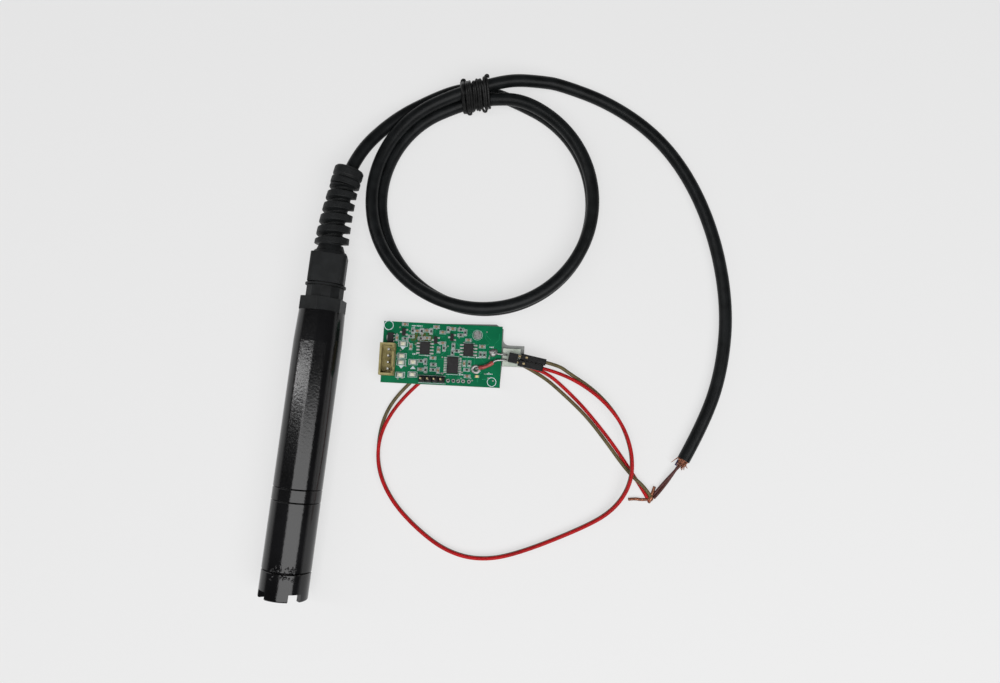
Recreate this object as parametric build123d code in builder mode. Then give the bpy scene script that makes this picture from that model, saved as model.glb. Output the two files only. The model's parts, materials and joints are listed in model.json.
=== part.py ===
"""A wired ultrasonic distance sensor: a cylindrical probe with a notched guard, its coiled cable,
and the open driver board that the cable's two signal leads plug into.

Millimetres, +Z up. The origin is the centre of the sensing face, on the probe's axis. The probe
lies along Y with its cable end at +Y and its beam towards -Y, and it rests on a flat surface.
"""

import math
import os

from build123d import *

os.makedirs("parts", exist_ok=True)

# Probe, along Y from the sensing face.
BARREL_R = 9.25
BORE_R = 7.25
GUARD_TIP_Y = -7.5
GUARD_STEP_Y = -1.2
SHOULDER_Y = 3.0
COLLAR_Y = 28.5
BARREL_Y = 33.4
TAPER_Y = 88.9
BARREL_END_Y = 100.9
BARREL_END_R = 8.8
HEX_END_Y = 106.1
NECK_END_Y = 110.5
FLANGE_Y = 110.8
FLANGE_END_Y = 111.6
NUT_Y = 111.9
NUT_END_Y = 124.6
GAP = 0.3
FIT = 0.05
EDGE = 0.3

# Screw threads are modelled as plain running fits.
GUARD_THREAD_R = 7.6
GLAND_THREAD_R = 5.9
THREAD_FIT = 0.08

# The surface that everything lies on.
FLOOR = -BARREL_R

# Cable and wires.
CABLE_D = 5.0
LEAD_D = 1.4
CORE_D = 1.9
COIL_CENTRE = (56.9, 152.7)
COIL_R_OUT = 45.8
COIL_R_IN = 38.9
COIL_HIGH = 10.0
TIE_TURN = 11.1
TIE_LONG = 12.5
TIE_WIRE = 1.3

# Driver board: place, turn about Z and the heights of its layers above the floor.
BOARD_CENTRE = (47.7, 90.3)
BOARD_TURN = 3.8
BOARD_LONG = 46.5
BOARD_WIDE = 24.0
CARRIER_LOW = 2.4
BOARD_LOW = 3.6
BOARD_TOP = 5.2
PAD_TOP = 4.8

# Lead header on the carrier's tongue, and the two single-way plugs on it.
PLUG_CENTRE = (75.4, 91.95)
PLUG_TURN = -6.6
PLUG_AXIS = 6.1
PITCH = 2.54
PIN = 0.64
SHELL = 2.4
SHELL_LONG = 9.8
OLIVE_START = 3.1
RED_START = 2.5


def ring(low, high, inner, outer, inner_high=None, outer_high=None):
    """Revolve a band about the probe's axis, from y = low to high, straight or tapered."""
    inner_high = inner if inner_high is None else inner_high
    outer_high = outer if outer_high is None else outer_high
    corners = [(inner, low), (outer, low), (outer_high, high), (inner_high, high)]
    with BuildSketch(Plane.XY) as band:
        with BuildLine():
            Polyline(*corners, close=True)
        make_face()
    revolve(band.sketch, axis=Axis.Y)


def disc(low, high, radius):
    """A solid round, from y = low to high."""
    ring(low, high, 0, radius)


def bore(low, high, radius):
    """Take a round hole out of the part in hand, from y = low to high."""
    with BuildSketch(Plane.XZ.offset(-low)) as hole:
        Circle(radius)
    extrude(hole.sketch, amount=low - high, mode=Mode.SUBTRACT)


def prism(low, high, across_flats, sides=6, turn=0):
    """A regular prism about the probe's axis, from y = low to high, turned about it in degrees."""
    with BuildSketch(Plane.XZ.offset(-low)) as outline:
        RegularPolygon(across_flats / 2, sides, major_radius=False, rotation=turn)
    extrude(outline.sketch, amount=low - high)


def route(points):
    """Lift a list of (x, y, height above the floor) points into the frame."""
    return [Vector(x, y, FLOOR + height) for x, y, height in points]


def smooth(points, name):
    """A path of straight runs and tangent arcs, each as large as its two runs allow."""
    radii = []
    for before, here, after in zip(points, points[1:], points[2:]):
        half = math.radians((here - before).get_angle(after - here)) / 2
        radii.append(0.45 * min((here - before).length, (after - here).length) / math.tan(half))
    with BuildLine() as path:
        FilletPolyline(*points, radius=radii)
    print(name, "radii", [round(r, 1) for r in radii], "length", round(path.wires()[0].length, 1))
    return path.wires()[0]


def tube(points, diameter, name, mode=Mode.ADD):
    """Sweep a round section along a smoothed route."""
    path = smooth(points, name)
    with BuildSketch(Plane(points[0], z_dir=points[1] - points[0])) as section:
        Circle(diameter / 2)
    sweep(section.sketch, path=path, mode=mode)
    return path.length * math.pi * diameter**2 / 4


def save(part, name):
    """Label a finished piece and write it."""
    part.label = name
    export_step(part, f"parts/{name}.step")


def report_tube(part, expected, name):
    """Compare a tube's volume with its section times its length."""
    print(name, "volume", round(part.volume, 1), "section x length", round(expected, 1))


# ---------------------------------------------------------------- sensing head
GUARD_MOUTH_R = 6.6
NOTCH_WIDE = 5.1
NOTCH_DEEP = 3.0
NOTCH_TURN = 48.5


def outer_rims():
    """The round edges of the part in hand at its largest radius, in order along the probe."""
    return edges().filter_by(GeomType.CIRCLE).group_by(SortBy.RADIUS)[-1].sort_by(Axis.Y)


with BuildPart() as guard_cap:
    ring(GUARD_TIP_Y, GUARD_STEP_Y, GUARD_MOUTH_R, BARREL_R)
    ring(GUARD_STEP_Y, SHOULDER_Y - GAP, GUARD_THREAD_R + THREAD_FIT, BARREL_R)
    chamfer(outer_rims()[-1], EDGE)
    fillet(outer_rims()[0], 0.7)
    with BuildSketch(Plane.XZ.offset(-GUARD_TIP_Y)) as notches:
        with PolarLocations(BARREL_R, 4, start_angle=NOTCH_TURN):
            Rectangle(8, NOTCH_WIDE)
    extrude(notches.sketch, amount=-NOTCH_DEEP, mode=Mode.SUBTRACT)
save(guard_cap.part, "guard_cap")

with BuildPart() as guard_o_ring:
    ring(GUARD_STEP_Y + GAP, -GAP, 6.4, 7.3)
save(guard_o_ring.part, "guard_o_ring")

SPIGOT_R = BORE_R - FIT
HEAD_BORE_R = 6.0
SEAL_PLACES = (35.6, 38.4)
SEAL_R = 0.5
with BuildPart() as head_sleeve:
    ring(0, SHOULDER_Y, HEAD_BORE_R, GUARD_THREAD_R)
    ring(SHOULDER_Y, COLLAR_Y, HEAD_BORE_R, BARREL_R)
    chamfer(head_sleeve.edges().filter_by(GeomType.CIRCLE).group_by(SortBy.RADIUS)[-1], EDGE)
    ring(COLLAR_Y, 41.4, HEAD_BORE_R, SPIGOT_R)
    for place in SEAL_PLACES:
        with BuildSketch(Plane.XY) as groove:
            with Locations((SPIGOT_R, place)):
                Rectangle(2.0, 1.4)
        revolve(groove.sketch, axis=Axis.Y, mode=Mode.SUBTRACT)
save(head_sleeve.part, "head_sleeve")

with BuildPart() as head_o_rings:
    for place in SEAL_PLACES:
        with BuildSketch(Plane.XY) as cord_section:
            with Locations((BORE_R - SEAL_R, place)):
                Circle(SEAL_R)
        revolve(cord_section.sketch, axis=Axis.Y)
save(head_o_rings.part, "head_o_rings")

with BuildPart() as lock_collar:
    ring(COLLAR_Y, BARREL_Y, BORE_R, BARREL_R)
    chamfer(lock_collar.edges().filter_by(GeomType.CIRCLE).group_by(SortBy.RADIUS)[-1], EDGE)
save(lock_collar.part, "lock_collar")

CUP_R = HEAD_BORE_R - FIT
CUP_BORE_R = 5.6
STACK_R = CUP_BORE_R - FIT
with BuildPart() as transducer_cup:
    ring(0, 13.0, CUP_BORE_R, CUP_R)
    ring(13.0, 14.0, 3.0, CUP_R)
save(transducer_cup.part, "transducer_cup")

with BuildPart() as matching_layer:
    disc(0, 1.6, STACK_R)
save(matching_layer.part, "matching_layer")

with BuildPart() as piezo_disc:
    disc(1.6, 3.6, STACK_R)
save(piezo_disc.part, "piezo_disc")

with BuildPart() as backing_block:
    disc(3.6, 11.6, STACK_R)
save(backing_block.part, "backing_block")

WIRE_HOLE_R = 1.8
CABLE_INNER_Y = 66.0
with BuildPart() as potting_plug:
    ring(14.0, 41.4, WIRE_HOLE_R, HEAD_BORE_R - FIT)
    ring(41.4, 60.0, WIRE_HOLE_R, SPIGOT_R)
save(potting_plug.part, "potting_plug")

with BuildPart() as transducer_wires:
    with BuildSketch(Plane.XZ.offset(-11.6)) as wire_pair:
        with Locations((-0.8, 0), (0.8, 0)):
            Circle(0.5)
    extrude(wire_pair.sketch, amount=11.6 - CABLE_INNER_Y)
save(transducer_wires.part, "transducer_wires")

# ---------------------------------------------------------------- barrel and rear gland
with BuildPart() as barrel_tube:
    ring(BARREL_Y, TAPER_Y, BORE_R, BARREL_R)
    ring(TAPER_Y, BARREL_END_Y, BORE_R, BARREL_R, BORE_R, BARREL_END_R)
    front_edges = barrel_tube.edges().filter_by(GeomType.CIRCLE).group_by(Axis.Y)[0]
    chamfer(front_edges.sort_by(SortBy.RADIUS)[-1], EDGE)
save(barrel_tube.part, "barrel_tube")

GLAND_SHANK_R = 4.6
GLAND_BORE_R = 2.8
HEX_TURN = 33
with BuildPart() as rear_cap_hex:
    ring(92.0, BARREL_END_Y, GLAND_SHANK_R + FIT, SPIGOT_R)
    prism(BARREL_END_Y, HEX_END_Y, 15.8, turn=HEX_TURN)
    prism(HEX_END_Y, NECK_END_Y, 14.2, sides=12)
    bore(90.0, NECK_END_Y + 1, GLAND_SHANK_R + FIT)
    with BuildSketch(Plane.XY) as seal_groove:
        with Locations((SPIGOT_R, 97.5)):
            Rectangle(2.0, 1.4)
    revolve(seal_groove.sketch, axis=Axis.Y, mode=Mode.SUBTRACT)
save(rear_cap_hex.part, "rear_cap_hex")

with BuildPart() as rear_o_ring:
    with BuildSketch(Plane.XY) as rear_section:
        with Locations((BORE_R - SEAL_R, 97.5)):
            Circle(SEAL_R)
    revolve(rear_section.sketch, axis=Axis.Y)
save(rear_o_ring.part, "rear_o_ring")

with BuildPart() as gland_washer:
    ring(NECK_END_Y, FLANGE_Y, GLAND_SHANK_R + FIT, 6.8)
save(gland_washer.part, "gland_washer")

GROMMET_R = 3.7
CLAW_R = 4.6
with BuildPart() as gland_body:
    ring(102.0, FLANGE_Y, GLAND_BORE_R, GLAND_SHANK_R)
    ring(FLANGE_Y, FLANGE_END_Y, GLAND_BORE_R, 7.8)
    ring(FLANGE_END_Y, 118.2, CLAW_R + FIT, GLAND_THREAD_R)
    ring(FLANGE_END_Y, 112.4, GLAND_BORE_R, CLAW_R + 0.5)
save(gland_body.part, "gland_body")

with BuildPart() as sealing_grommet:
    ring(112.4, 119.6, CABLE_D / 2 + FIT, GROMMET_R)
save(sealing_grommet.part, "sealing_grommet")

with BuildPart() as clamping_claw:
    ring(112.4, 120.4, GROMMET_R + FIT, CLAW_R)
    with BuildSketch(Plane.XZ.offset(-115.0)) as slits:
        with PolarLocations(4.2, 6):
            Rectangle(2.4, 0.8)
    extrude(slits.sketch, amount=-8.0, mode=Mode.SUBTRACT)
save(clamping_claw.part, "clamping_claw")

NUT_MOUTH_R = 3.3
NUT_FLATS = 13.8
NUT_CORNER_R = 2.0
NUT_TURN = -8.5
NUT_TAPER_Y = 123.2
with BuildPart() as gland_nut:
    with BuildSketch(Plane.XZ.offset(-NUT_Y)) as nut_outline:
        RectangleRounded(NUT_FLATS, NUT_FLATS, NUT_CORNER_R, rotation=NUT_TURN)
    extrude(nut_outline.sketch, amount=NUT_Y - NUT_TAPER_Y)
    ring(NUT_TAPER_Y, NUT_END_Y, 0, NUT_FLATS / 2, 0, 6.2)
    bore(NUT_Y - 1, 118.6, GLAND_THREAD_R + THREAD_FIT)
    bore(118.0, 121.4, CLAW_R + 0.4)
    bore(121.0, NUT_END_Y + 1, NUT_MOUTH_R)
save(gland_nut.part, "gland_nut")

# ---------------------------------------------------------------- bent strain relief
AXIS_HIGH = -FLOOR
TAIL_BEND = (0.0, 141.67)
TAIL_END = (3.14, 158.45)
TAIL_BORE_D = 6.2
TAIL_START = (0, NUT_END_Y + GAP)
tail_points = route([(*place, AXIS_HIGH) for place in (TAIL_START, TAIL_BEND, TAIL_END)])
tail_path = smooth(tail_points, "strain relief")
RING_PLACES = ((3.7, 12.9), (8.5, 12.4), (13.1, 12.4), (17.7, 12.0), (22.3, 11.5))
RING_THICK = 2.6
END_CAP_D = 11.6
END_CAP_LONG = 8.6
CORE_OUT_D = 9.1


def tail_plane(distance):
    """The plane across the strain relief at a distance along it."""
    share = distance / tail_path.length
    return Plane(tail_path @ share, z_dir=tail_path % share)


with BuildPart() as strain_relief:
    tube(tail_points, CORE_OUT_D, "strain relief core")
    for place, across in RING_PLACES:
        with BuildSketch(tail_plane(place - RING_THICK / 2)) as slab:
            Circle(across / 2)
        extrude(slab.sketch, amount=RING_THICK)
    with BuildSketch(tail_plane(tail_path.length - END_CAP_LONG)) as end_cap:
        Circle(END_CAP_D / 2)
    extrude(end_cap.sketch, amount=END_CAP_LONG)
    tube(tail_points, TAIL_BORE_D, "strain relief bore", Mode.SUBTRACT)
save(strain_relief.part, "strain_relief")

# ---------------------------------------------------------------- cable
with BuildPart() as cable_inner:
    with BuildSketch(Plane.XZ.offset(-CABLE_INNER_Y)) as inner_section:
        Circle(CABLE_D / 2)
    extrude(inner_section.sketch, amount=CABLE_INNER_Y - NUT_END_Y)
save(cable_inner.part, "cable_inner")

tie_angle = math.radians(TIE_TURN)
tie_outward = Vector(-math.sin(tie_angle), math.cos(tie_angle), 0)
tie_along = Vector(math.cos(tie_angle), math.sin(tie_angle), 0)
coil_centre = Vector(*COIL_CENTRE, 0)
TIED_HEIGHT = CABLE_D / 2 + TIE_WIRE
tied_end = coil_centre + tie_outward * (COIL_R_OUT + CABLE_D / 2)
TIED_POINT = (tied_end.X, tied_end.Y, TIED_HEIGHT)

LEAD_IN = [
    (0, NUT_END_Y, AXIS_HIGH),
    (*TAIL_BEND, AXIS_HIGH),
    (4.3, 164.5, 8.6),
    (17.0, 182.5, 4.2),
    (31.0, 195.0, 2.9),
    TIED_POINT,
]
with BuildPart() as cable_lead_in:
    lead_in_volume = tube(route(LEAD_IN), CABLE_D, "lead-in")
report_tube(cable_lead_in.part, lead_in_volume, "lead-in")
save(cable_lead_in.part, "cable_lead_in")

LEAD_OUT = [
    TIED_POINT,
    (62.5, 203.8, 2.9),
    (82.0, 205.2, 2.5),
    (103.5, 199.6, 2.5),
    (123.8, 187.9, 2.5),
    (139.3, 170.4, 2.5),
    (150.9, 147.4, 2.5),
    (157.5, 121.5, 2.5),
    (157.6, 98.0, 2.5),
    (153.2, 77.5, 2.5),
    (145.8, 60.3, 2.5),
]
with BuildPart() as cable_lead_out:
    lead_out_volume = tube(route(LEAD_OUT), CABLE_D, "lead-out")
report_tube(cable_lead_out.part, lead_out_volume, "lead-out")
save(cable_lead_out.part, "cable_lead_out")

tie_plane = Plane(coil_centre + Vector(0, 0, FLOOR), x_dir=tie_along, z_dir=(0, 0, 1))
with BuildPart() as cable_coil:
    with BuildSketch(Plane.XY.offset(FLOOR)) as coil_outline:
        with Locations(COIL_CENTRE):
            Circle(COIL_R_OUT)
            Circle(COIL_R_IN, mode=Mode.SUBTRACT)
    extrude(coil_outline.sketch, amount=COIL_HIGH)
    fillet(cable_coil.edges().filter_by(GeomType.CIRCLE), 2.2)
    with BuildSketch(tie_plane) as tie_notch:
        with Locations((0, COIL_R_IN + 3)):
            Rectangle(TIE_LONG + 0.4, 12)
    extrude(tie_notch.sketch, amount=TIE_WIRE, mode=Mode.SUBTRACT)
save(cable_coil.part, "cable_coil")

TIE_OPEN_IN = COIL_R_IN - 0.7
TIE_OPEN_OUT = COIL_R_OUT + CABLE_D + 0.1
tie_middle = (TIE_OPEN_IN + TIE_OPEN_OUT) / 2
tie_across = TIE_OPEN_OUT - TIE_OPEN_IN
tie_side = Plane(coil_centre + Vector(0, 0, FLOOR), x_dir=tie_outward, z_dir=tie_along)
with BuildPart() as cable_tie:
    with BuildSketch(tie_side.offset(-TIE_LONG / 2)) as band:
        with Locations((tie_middle, COIL_HIGH / 2 + TIE_WIRE / 2 + 0.05)):
            RectangleRounded(tie_across + 2 * TIE_WIRE, COIL_HIGH + TIE_WIRE + 0.1, 1.2)
        with Locations((tie_middle, (TIE_WIRE + COIL_HIGH) / 2)):
            Rectangle(tie_across, COIL_HIGH - TIE_WIRE, mode=Mode.SUBTRACT)
    extrude(band.sketch, amount=TIE_LONG)
save(cable_tie.part, "cable_tie")

# ---------------------------------------------------------------- stripped end and splice
SPLICE = (134.7, 44.0, 1.25)
CORE_ROUTE = [(145.8, 60.3, 2.5), (143.2, 54.4, 1.7), (139.4, 48.6, 1.2), (135.7, 44.6, 1.2)]
with BuildPart() as cable_cores:
    core_volume = tube(route(CORE_ROUTE), CORE_D, "cores")
report_tube(cable_cores.part, core_volume, "cores")
save(cable_cores.part, "cable_cores")

core_start, core_next = route(CORE_ROUTE[:2])
with BuildPart() as shield_strands:
    with BuildSketch(Plane(core_start, z_dir=core_next - core_start)) as wide_end:
        Circle(1.9)
    with BuildSketch(Plane(core_start, z_dir=core_next - core_start).offset(4.5)) as narrow_end:
        Circle(1.2)
    loft([wide_end.sketch.face(), narrow_end.sketch.face()])
    add(cable_cores.part, mode=Mode.SUBTRACT)
save(shield_strands.part, "shield_strands")

with BuildPart() as splice_joints:
    with BuildSketch(Plane.XY.offset(FLOOR + 0.25)) as joint_outline:
        with Locations(SPLICE[:2]):
            RectangleRounded(2.2, 3.0, 0.8)
    extrude(joint_outline.sketch, amount=2.0)
    fillet(splice_joints.faces().sort_by(Axis.Z)[-1].edges(), 0.5)
save(splice_joints.part, "splice_joints")

PIGTAILS = (((133.7, 43.4, 1.1), (126.4, 42.8, 0.6)), ((134.9, 45.4, 1.2), (136.1, 49.0, 1.0)))
with BuildPart() as bare_ends:
    for tail_start, tail_stop in PIGTAILS:
        start, stop = route([tail_start, tail_stop])
        with BuildSketch(Plane(start, z_dir=stop - start)) as strand:
            Circle(0.45)
        extrude(strand.sketch, amount=(stop - start).length)
save(bare_ends.part, "bare_ends")

# ---------------------------------------------------------------- signal leads
turn = math.radians(PLUG_TURN)
plug_along = Vector(math.cos(turn), math.sin(turn), 0)
plug_side = Vector(-math.sin(turn), math.cos(turn), 0)
plug_origin = Vector(*PLUG_CENTRE, FLOOR)
LEAD_IN_SHELL = 1.5


def plug_point(along, side, height=PLUG_AXIS):
    """A point on the header's own axes: along the pins, across them, and above the floor."""
    place = plug_origin + plug_along * along + plug_side * side
    return (place.X, place.Y, height)


OLIVE_LEAD = [
    plug_point(OLIVE_START + SHELL_LONG - LEAD_IN_SHELL, PITCH / 2),
    plug_point(OLIVE_START + SHELL_LONG + 2.6, PITCH / 2),
    (98.0, 88.6, 5.2),
    (107.5, 83.9, 4.5),
    (115.4, 77.6, 4.0),
    (121.8, 69.5, 3.8),
    (125.9, 59.0, 3.7),
    (126.0, 48.5, 3.5),
    (121.0, 38.5, 1.9),
    (111.0, 30.6, 0.8),
    (84.5, 16.6, 0.7),
    (70.5, 13.2, 0.7),
    (58.0, 15.3, 0.7),
    (46.0, 22.3, 0.7),
    (35.2, 31.5, 0.7),
    (28.4, 42.4, 0.7),
    (26.6, 54.5, 0.7),
    (28.4, 66.6, 0.7),
    (35.4, 77.4, 0.7),
    (45.2, 87.0, 0.7),
    (60.0, 91.9, 0.7),
    (74.6, 92.0, 0.7),
    (88.0, 86.6, 0.7),
    (96.0, 81.2, 0.7),
    (106.4, 72.4, 0.7),
    (115.2, 63.2, 0.7),
    (121.8, 55.6, 0.7),
    (127.0, 51.6, 2.4),
    (131.8, 48.4, 2.4),
    (134.8, 44.9, 1.4),
]
RED_LEAD = [
    plug_point(RED_START + SHELL_LONG - LEAD_IN_SHELL, -PITCH / 2),
    plug_point(RED_START + SHELL_LONG + 6.0, -PITCH / 2),
    (105.0, 84.2, 6.0),
    (114.5, 77.8, 5.7),
    (121.8, 69.5, 5.5),
    (125.9, 59.0, 5.4),
    (126.0, 48.5, 5.2),
    (121.0, 38.5, 3.6),
    (111.0, 30.6, 2.45),
    (84.5, 16.6, 2.25),
    (70.5, 13.2, 2.25),
    (58.0, 15.3, 2.25),
    (46.0, 22.3, 2.25),
    (35.2, 31.5, 2.25),
    (28.4, 42.4, 2.25),
    (26.9, 54.3, 2.25),
    (30.3, 65.4, 1.5),
    (37.3, 75.7, 0.75),
    (46.4, 85.0, 0.7),
    (60.2, 90.1, 0.7),
    (73.0, 89.8, 0.7),
    (79.0, 88.2, 0.75),
    (83.6, 87.3, 2.5),
    (90.0, 86.6, 2.5),
    (98.0, 82.2, 0.75),
    (107.6, 74.3, 0.7),
    (122.9, 58.4, 0.7),
    (134.4, 43.2, 1.0),
]
with BuildPart() as lead_olive:
    olive_volume = tube(route(OLIVE_LEAD), LEAD_D, "olive lead")
report_tube(lead_olive.part, olive_volume, "olive lead")
save(lead_olive.part, "lead_olive")

with BuildPart() as lead_red:
    red_volume = tube(route(RED_LEAD), LEAD_D, "red lead")
report_tube(lead_red.part, red_volume, "red lead")
save(lead_red.part, "lead_red")


# ---------------------------------------------------------------- lead header and plugs
def plug_block(start, stop, side, wide, low, high, mode=Mode.ADD):
    """A block on the header's own axes."""
    plane = Plane(plug_origin + Vector(0, 0, low), x_dir=plug_along, z_dir=(0, 0, 1))
    with BuildSketch(plane) as outline:
        with Locations(((start + stop) / 2, side)):
            Rectangle(stop - start, wide)
    extrude(outline.sketch, amount=high - low, mode=mode)


PIN_TIP = 8.0
PIN_LOW = PLUG_AXIS - PIN / 2
PIN_HIGH = PLUG_AXIS + PIN / 2
with BuildPart() as probe_header_pins:
    for side in (-PITCH / 2, PITCH / 2):
        plug_block(-1.0, PIN_TIP, side, PIN, PIN_LOW, PIN_HIGH)
save(probe_header_pins.part, "probe_header_pins")

with BuildPart() as probe_header_base:
    plug_block(-1.7, 2.0, 0, 3.7, PAD_TOP, PLUG_AXIS + 1.3)
    chamfer(probe_header_base.edges().filter_by(Axis.Z), 0.25)
    for side in (-PITCH / 2, PITCH / 2):
        plug_block(-1.0, 2.1, side, PIN, PIN_LOW, PIN_HIGH, Mode.SUBTRACT)
save(probe_header_base.part, "probe_header_base")


SHELL_CELL = 0.95
SHELL_CELL_HIGH = 0.8
WIRE_CELL = 0.9
WINDOW_WIDE = 0.8
WINDOW_LONG = 1.0


def plug_shell(start, side):
    """A single-way crimp housing: a pin hole in front, a wire hole behind, a latch window on top."""
    low = PLUG_AXIS - SHELL / 2
    stop = start + SHELL_LONG
    plug_block(start, stop, side, SHELL, low, low + SHELL)
    chamfer(faces().sort_by(Axis.Z)[-1].edges(), 0.2)
    cell_low = PLUG_AXIS - SHELL_CELL_HIGH
    cell_high = PLUG_AXIS + SHELL_CELL_HIGH
    plug_block(start - 1, stop - 2.2, side, 2 * SHELL_CELL, cell_low, cell_high, Mode.SUBTRACT)
    wire_low = PLUG_AXIS - WIRE_CELL
    wire_high = PLUG_AXIS + WIRE_CELL
    plug_block(stop - 3, stop + 1, side, 2 * WIRE_CELL, wire_low, wire_high, Mode.SUBTRACT)
    window = start + 1.6
    plug_block(window, window + WINDOW_LONG, side, WINDOW_WIDE, PLUG_AXIS, PLUG_AXIS + 2, Mode.SUBTRACT)


def plug_contact(start, side):
    """The crimped contact inside a shell, open for the pin in front."""
    half = PIN / 2 + 0.15
    plug_block(start + 0.3, start + 7.4, side, 1.6, PLUG_AXIS - 0.7, PLUG_AXIS + 0.7)
    plug_block(start, start + 7.6, side, 2 * half, PLUG_AXIS - half, PLUG_AXIS + half, Mode.SUBTRACT)


with BuildPart() as plug_shell_olive:
    plug_shell(OLIVE_START, PITCH / 2)
save(plug_shell_olive.part, "plug_shell_olive")

with BuildPart() as plug_shell_red:
    plug_shell(RED_START, -PITCH / 2)
save(plug_shell_red.part, "plug_shell_red")

with BuildPart() as plug_contact_olive:
    plug_contact(OLIVE_START, PITCH / 2)
save(plug_contact_olive.part, "plug_contact_olive")

with BuildPart() as plug_contact_red:
    plug_contact(RED_START, -PITCH / 2)
save(plug_contact_red.part, "plug_contact_red")

# ---------------------------------------------------------------- driver board
board_turn = math.radians(BOARD_TURN)
board_along = Vector(math.cos(board_turn), math.sin(board_turn), 0)


def board_plane(height):
    """The plane at a height above the floor whose origin is the board's top left corner."""
    corner = Vector(*BOARD_CENTRE, FLOOR + height) - board_along * BOARD_LONG / 2
    corner += Vector(-board_along.Y, board_along.X, 0) * BOARD_WIDE / 2
    return Plane(corner, x_dir=board_along, z_dir=(0, 0, 1))


def block(u, v, long, wide, low, high, mode=Mode.ADD):
    """A block on the board: u from its left edge, v down from its top edge, heights above the floor."""
    with BuildSketch(board_plane(low)) as outline:
        with Locations((u, -v)):
            Rectangle(long, wide)
    extrude(outline.sketch, amount=high - low, mode=mode)


def pillar(u, v, radius, low, high, mode=Mode.ADD):
    """A round on the board."""
    with BuildSketch(board_plane(low)) as outline:
        with Locations((u, -v)):
            Circle(radius)
    extrude(outline.sketch, amount=high - low, mode=mode)


def chips(places, long, wide, high):
    """Small parts of one size, at a list of (u, v) or (u, v, turned) places."""
    for place in places:
        sides = (wide, long) if len(place) == 3 else (long, wide)
        block(place[0], place[1], *sides, BOARD_TOP, BOARD_TOP + high)


def gull_leads(u, v, body_wide, span, count, pitch, lead_wide, high):
    """Two rows of flat leads, one on each side of a chip package."""
    reach = (span - body_wide) / 2
    for row in range(count):
        place = v + (row - (count - 1) / 2) * pitch
        for side in (-1, 1):
            middle = u + side * (body_wide / 2 + reach / 2)
            block(middle, place, reach, lead_wide, BOARD_TOP, BOARD_TOP + high)


CARRIER_OUTLINE = [
    (0.3, 0.4),
    (18.0, 0.0),
    (44.0, -0.9),
    (46.9, 0.9),
    (46.9, 7.1),
    (55.4, 7.1),
    (55.4, 15.4),
    (46.9, 15.4),
    (46.4, 23.7),
    (0.3, 23.7),
]
with BuildPart() as carrier_plate:
    with BuildSketch(board_plane(CARRIER_LOW)) as carrier_outline:
        with BuildLine():
            Polyline(*[(u, -v) for u, v in CARRIER_OUTLINE], close=True)
        make_face()
    extrude(carrier_outline.sketch, amount=BOARD_LOW - CARRIER_LOW)
    inner_corner = carrier_plate.edges().filter_by(Axis.Z).sort_by_distance(
        board_plane(CARRIER_LOW).from_local_coords((46.9, -7.1, 0))
    )[0]
    fillet(inner_corner, 2.4)
    block(1.7, 12.0, 2.4, 20.0, 0, CARRIER_LOW)
    block(24.0, 2.0, 36.0, 2.2, 0, CARRIER_LOW)
    block(42.5, 20.4, 5.0, 4.2, 0, CARRIER_LOW)
save(carrier_plate.part, "carrier_plate")

PIN_GRID = 2.5
SOCKET_AT = (2.5, 15.1)
HEADER_AT = (20.0, 22.0)
HOLE_R = 0.46
RING_PAD = (36.8, 17.2)
RING_HOLE_R = 0.8
socket_places = [(SOCKET_AT[0] + 0.6, SOCKET_AT[1] + (n - 1.5) * PIN_GRID) for n in range(4)]
header_places = [(HEADER_AT[0] + (n - 1.5) * PITCH, HEADER_AT[1]) for n in range(4)]
with BuildPart() as circuit_board:
    block(BOARD_LONG / 2, BOARD_WIDE / 2, BOARD_LONG, BOARD_WIDE, BOARD_LOW, BOARD_TOP)
    for place in socket_places + header_places:
        pillar(*place, HOLE_R, BOARD_LOW, BOARD_TOP, Mode.SUBTRACT)
    pillar(*RING_PAD, RING_HOLE_R, BOARD_LOW, BOARD_TOP, Mode.SUBTRACT)
save(circuit_board.part, "circuit_board")

with BuildPart() as tongue_pad:
    block(50.5, 11.9, 7.0, 6.9, BOARD_LOW, PAD_TOP)
save(tongue_pad.part, "tongue_pad")

SOCKET_HIGH = 5.4
SOCKET_WIDE = 5.6
SOCKET_LONG = 12.4
with BuildPart() as socket_housing:
    block(*SOCKET_AT, SOCKET_WIDE, SOCKET_LONG, BOARD_TOP, BOARD_TOP + SOCKET_HIGH)
    socket_open = BOARD_TOP + SOCKET_HIGH + 1
    block(*SOCKET_AT, SOCKET_WIDE - 1.5, SOCKET_LONG - 1.6, BOARD_TOP + 1.0, socket_open, Mode.SUBTRACT)
    for slot_v in (SOCKET_AT[1] - 3.75, SOCKET_AT[1] + 3.75):
        slot_u = SOCKET_AT[0] + SOCKET_WIDE / 2
        block(slot_u, slot_v, 1.6, 1.6, BOARD_TOP + 2.5, socket_open, Mode.SUBTRACT)
    for place in socket_places:
        block(*place, PIN, PIN, BOARD_TOP, BOARD_TOP + 1.2, Mode.SUBTRACT)
save(socket_housing.part, "socket_housing")

with BuildPart() as socket_pins:
    for place in socket_places:
        block(*place, PIN, PIN, BOARD_LOW, BOARD_TOP + 5.0)
save(socket_pins.part, "socket_pins")

with BuildPart() as header_housing:
    for place in header_places:
        block(*place, PITCH, 2.5, BOARD_TOP, BOARD_TOP + 2.5)
    chamfer(header_housing.edges().filter_by(Axis.Z), 0.4)
    for place in header_places:
        block(*place, PIN, PIN, BOARD_TOP, BOARD_TOP + 3, Mode.SUBTRACT)
save(header_housing.part, "header_housing")

with BuildPart() as header_pins:
    for place in header_places:
        block(*place, PIN, PIN, BOARD_LOW, BOARD_TOP + 8.5)
save(header_pins.part, "header_pins")

CONTROLLER_AT = (27.7, 16.1)
with BuildPart() as microcontroller_body:
    block(*CONTROLLER_AT, 4.4, 6.5, BOARD_TOP + 0.1, BOARD_TOP + 1.1)
save(microcontroller_body.part, "microcontroller_body")

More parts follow.
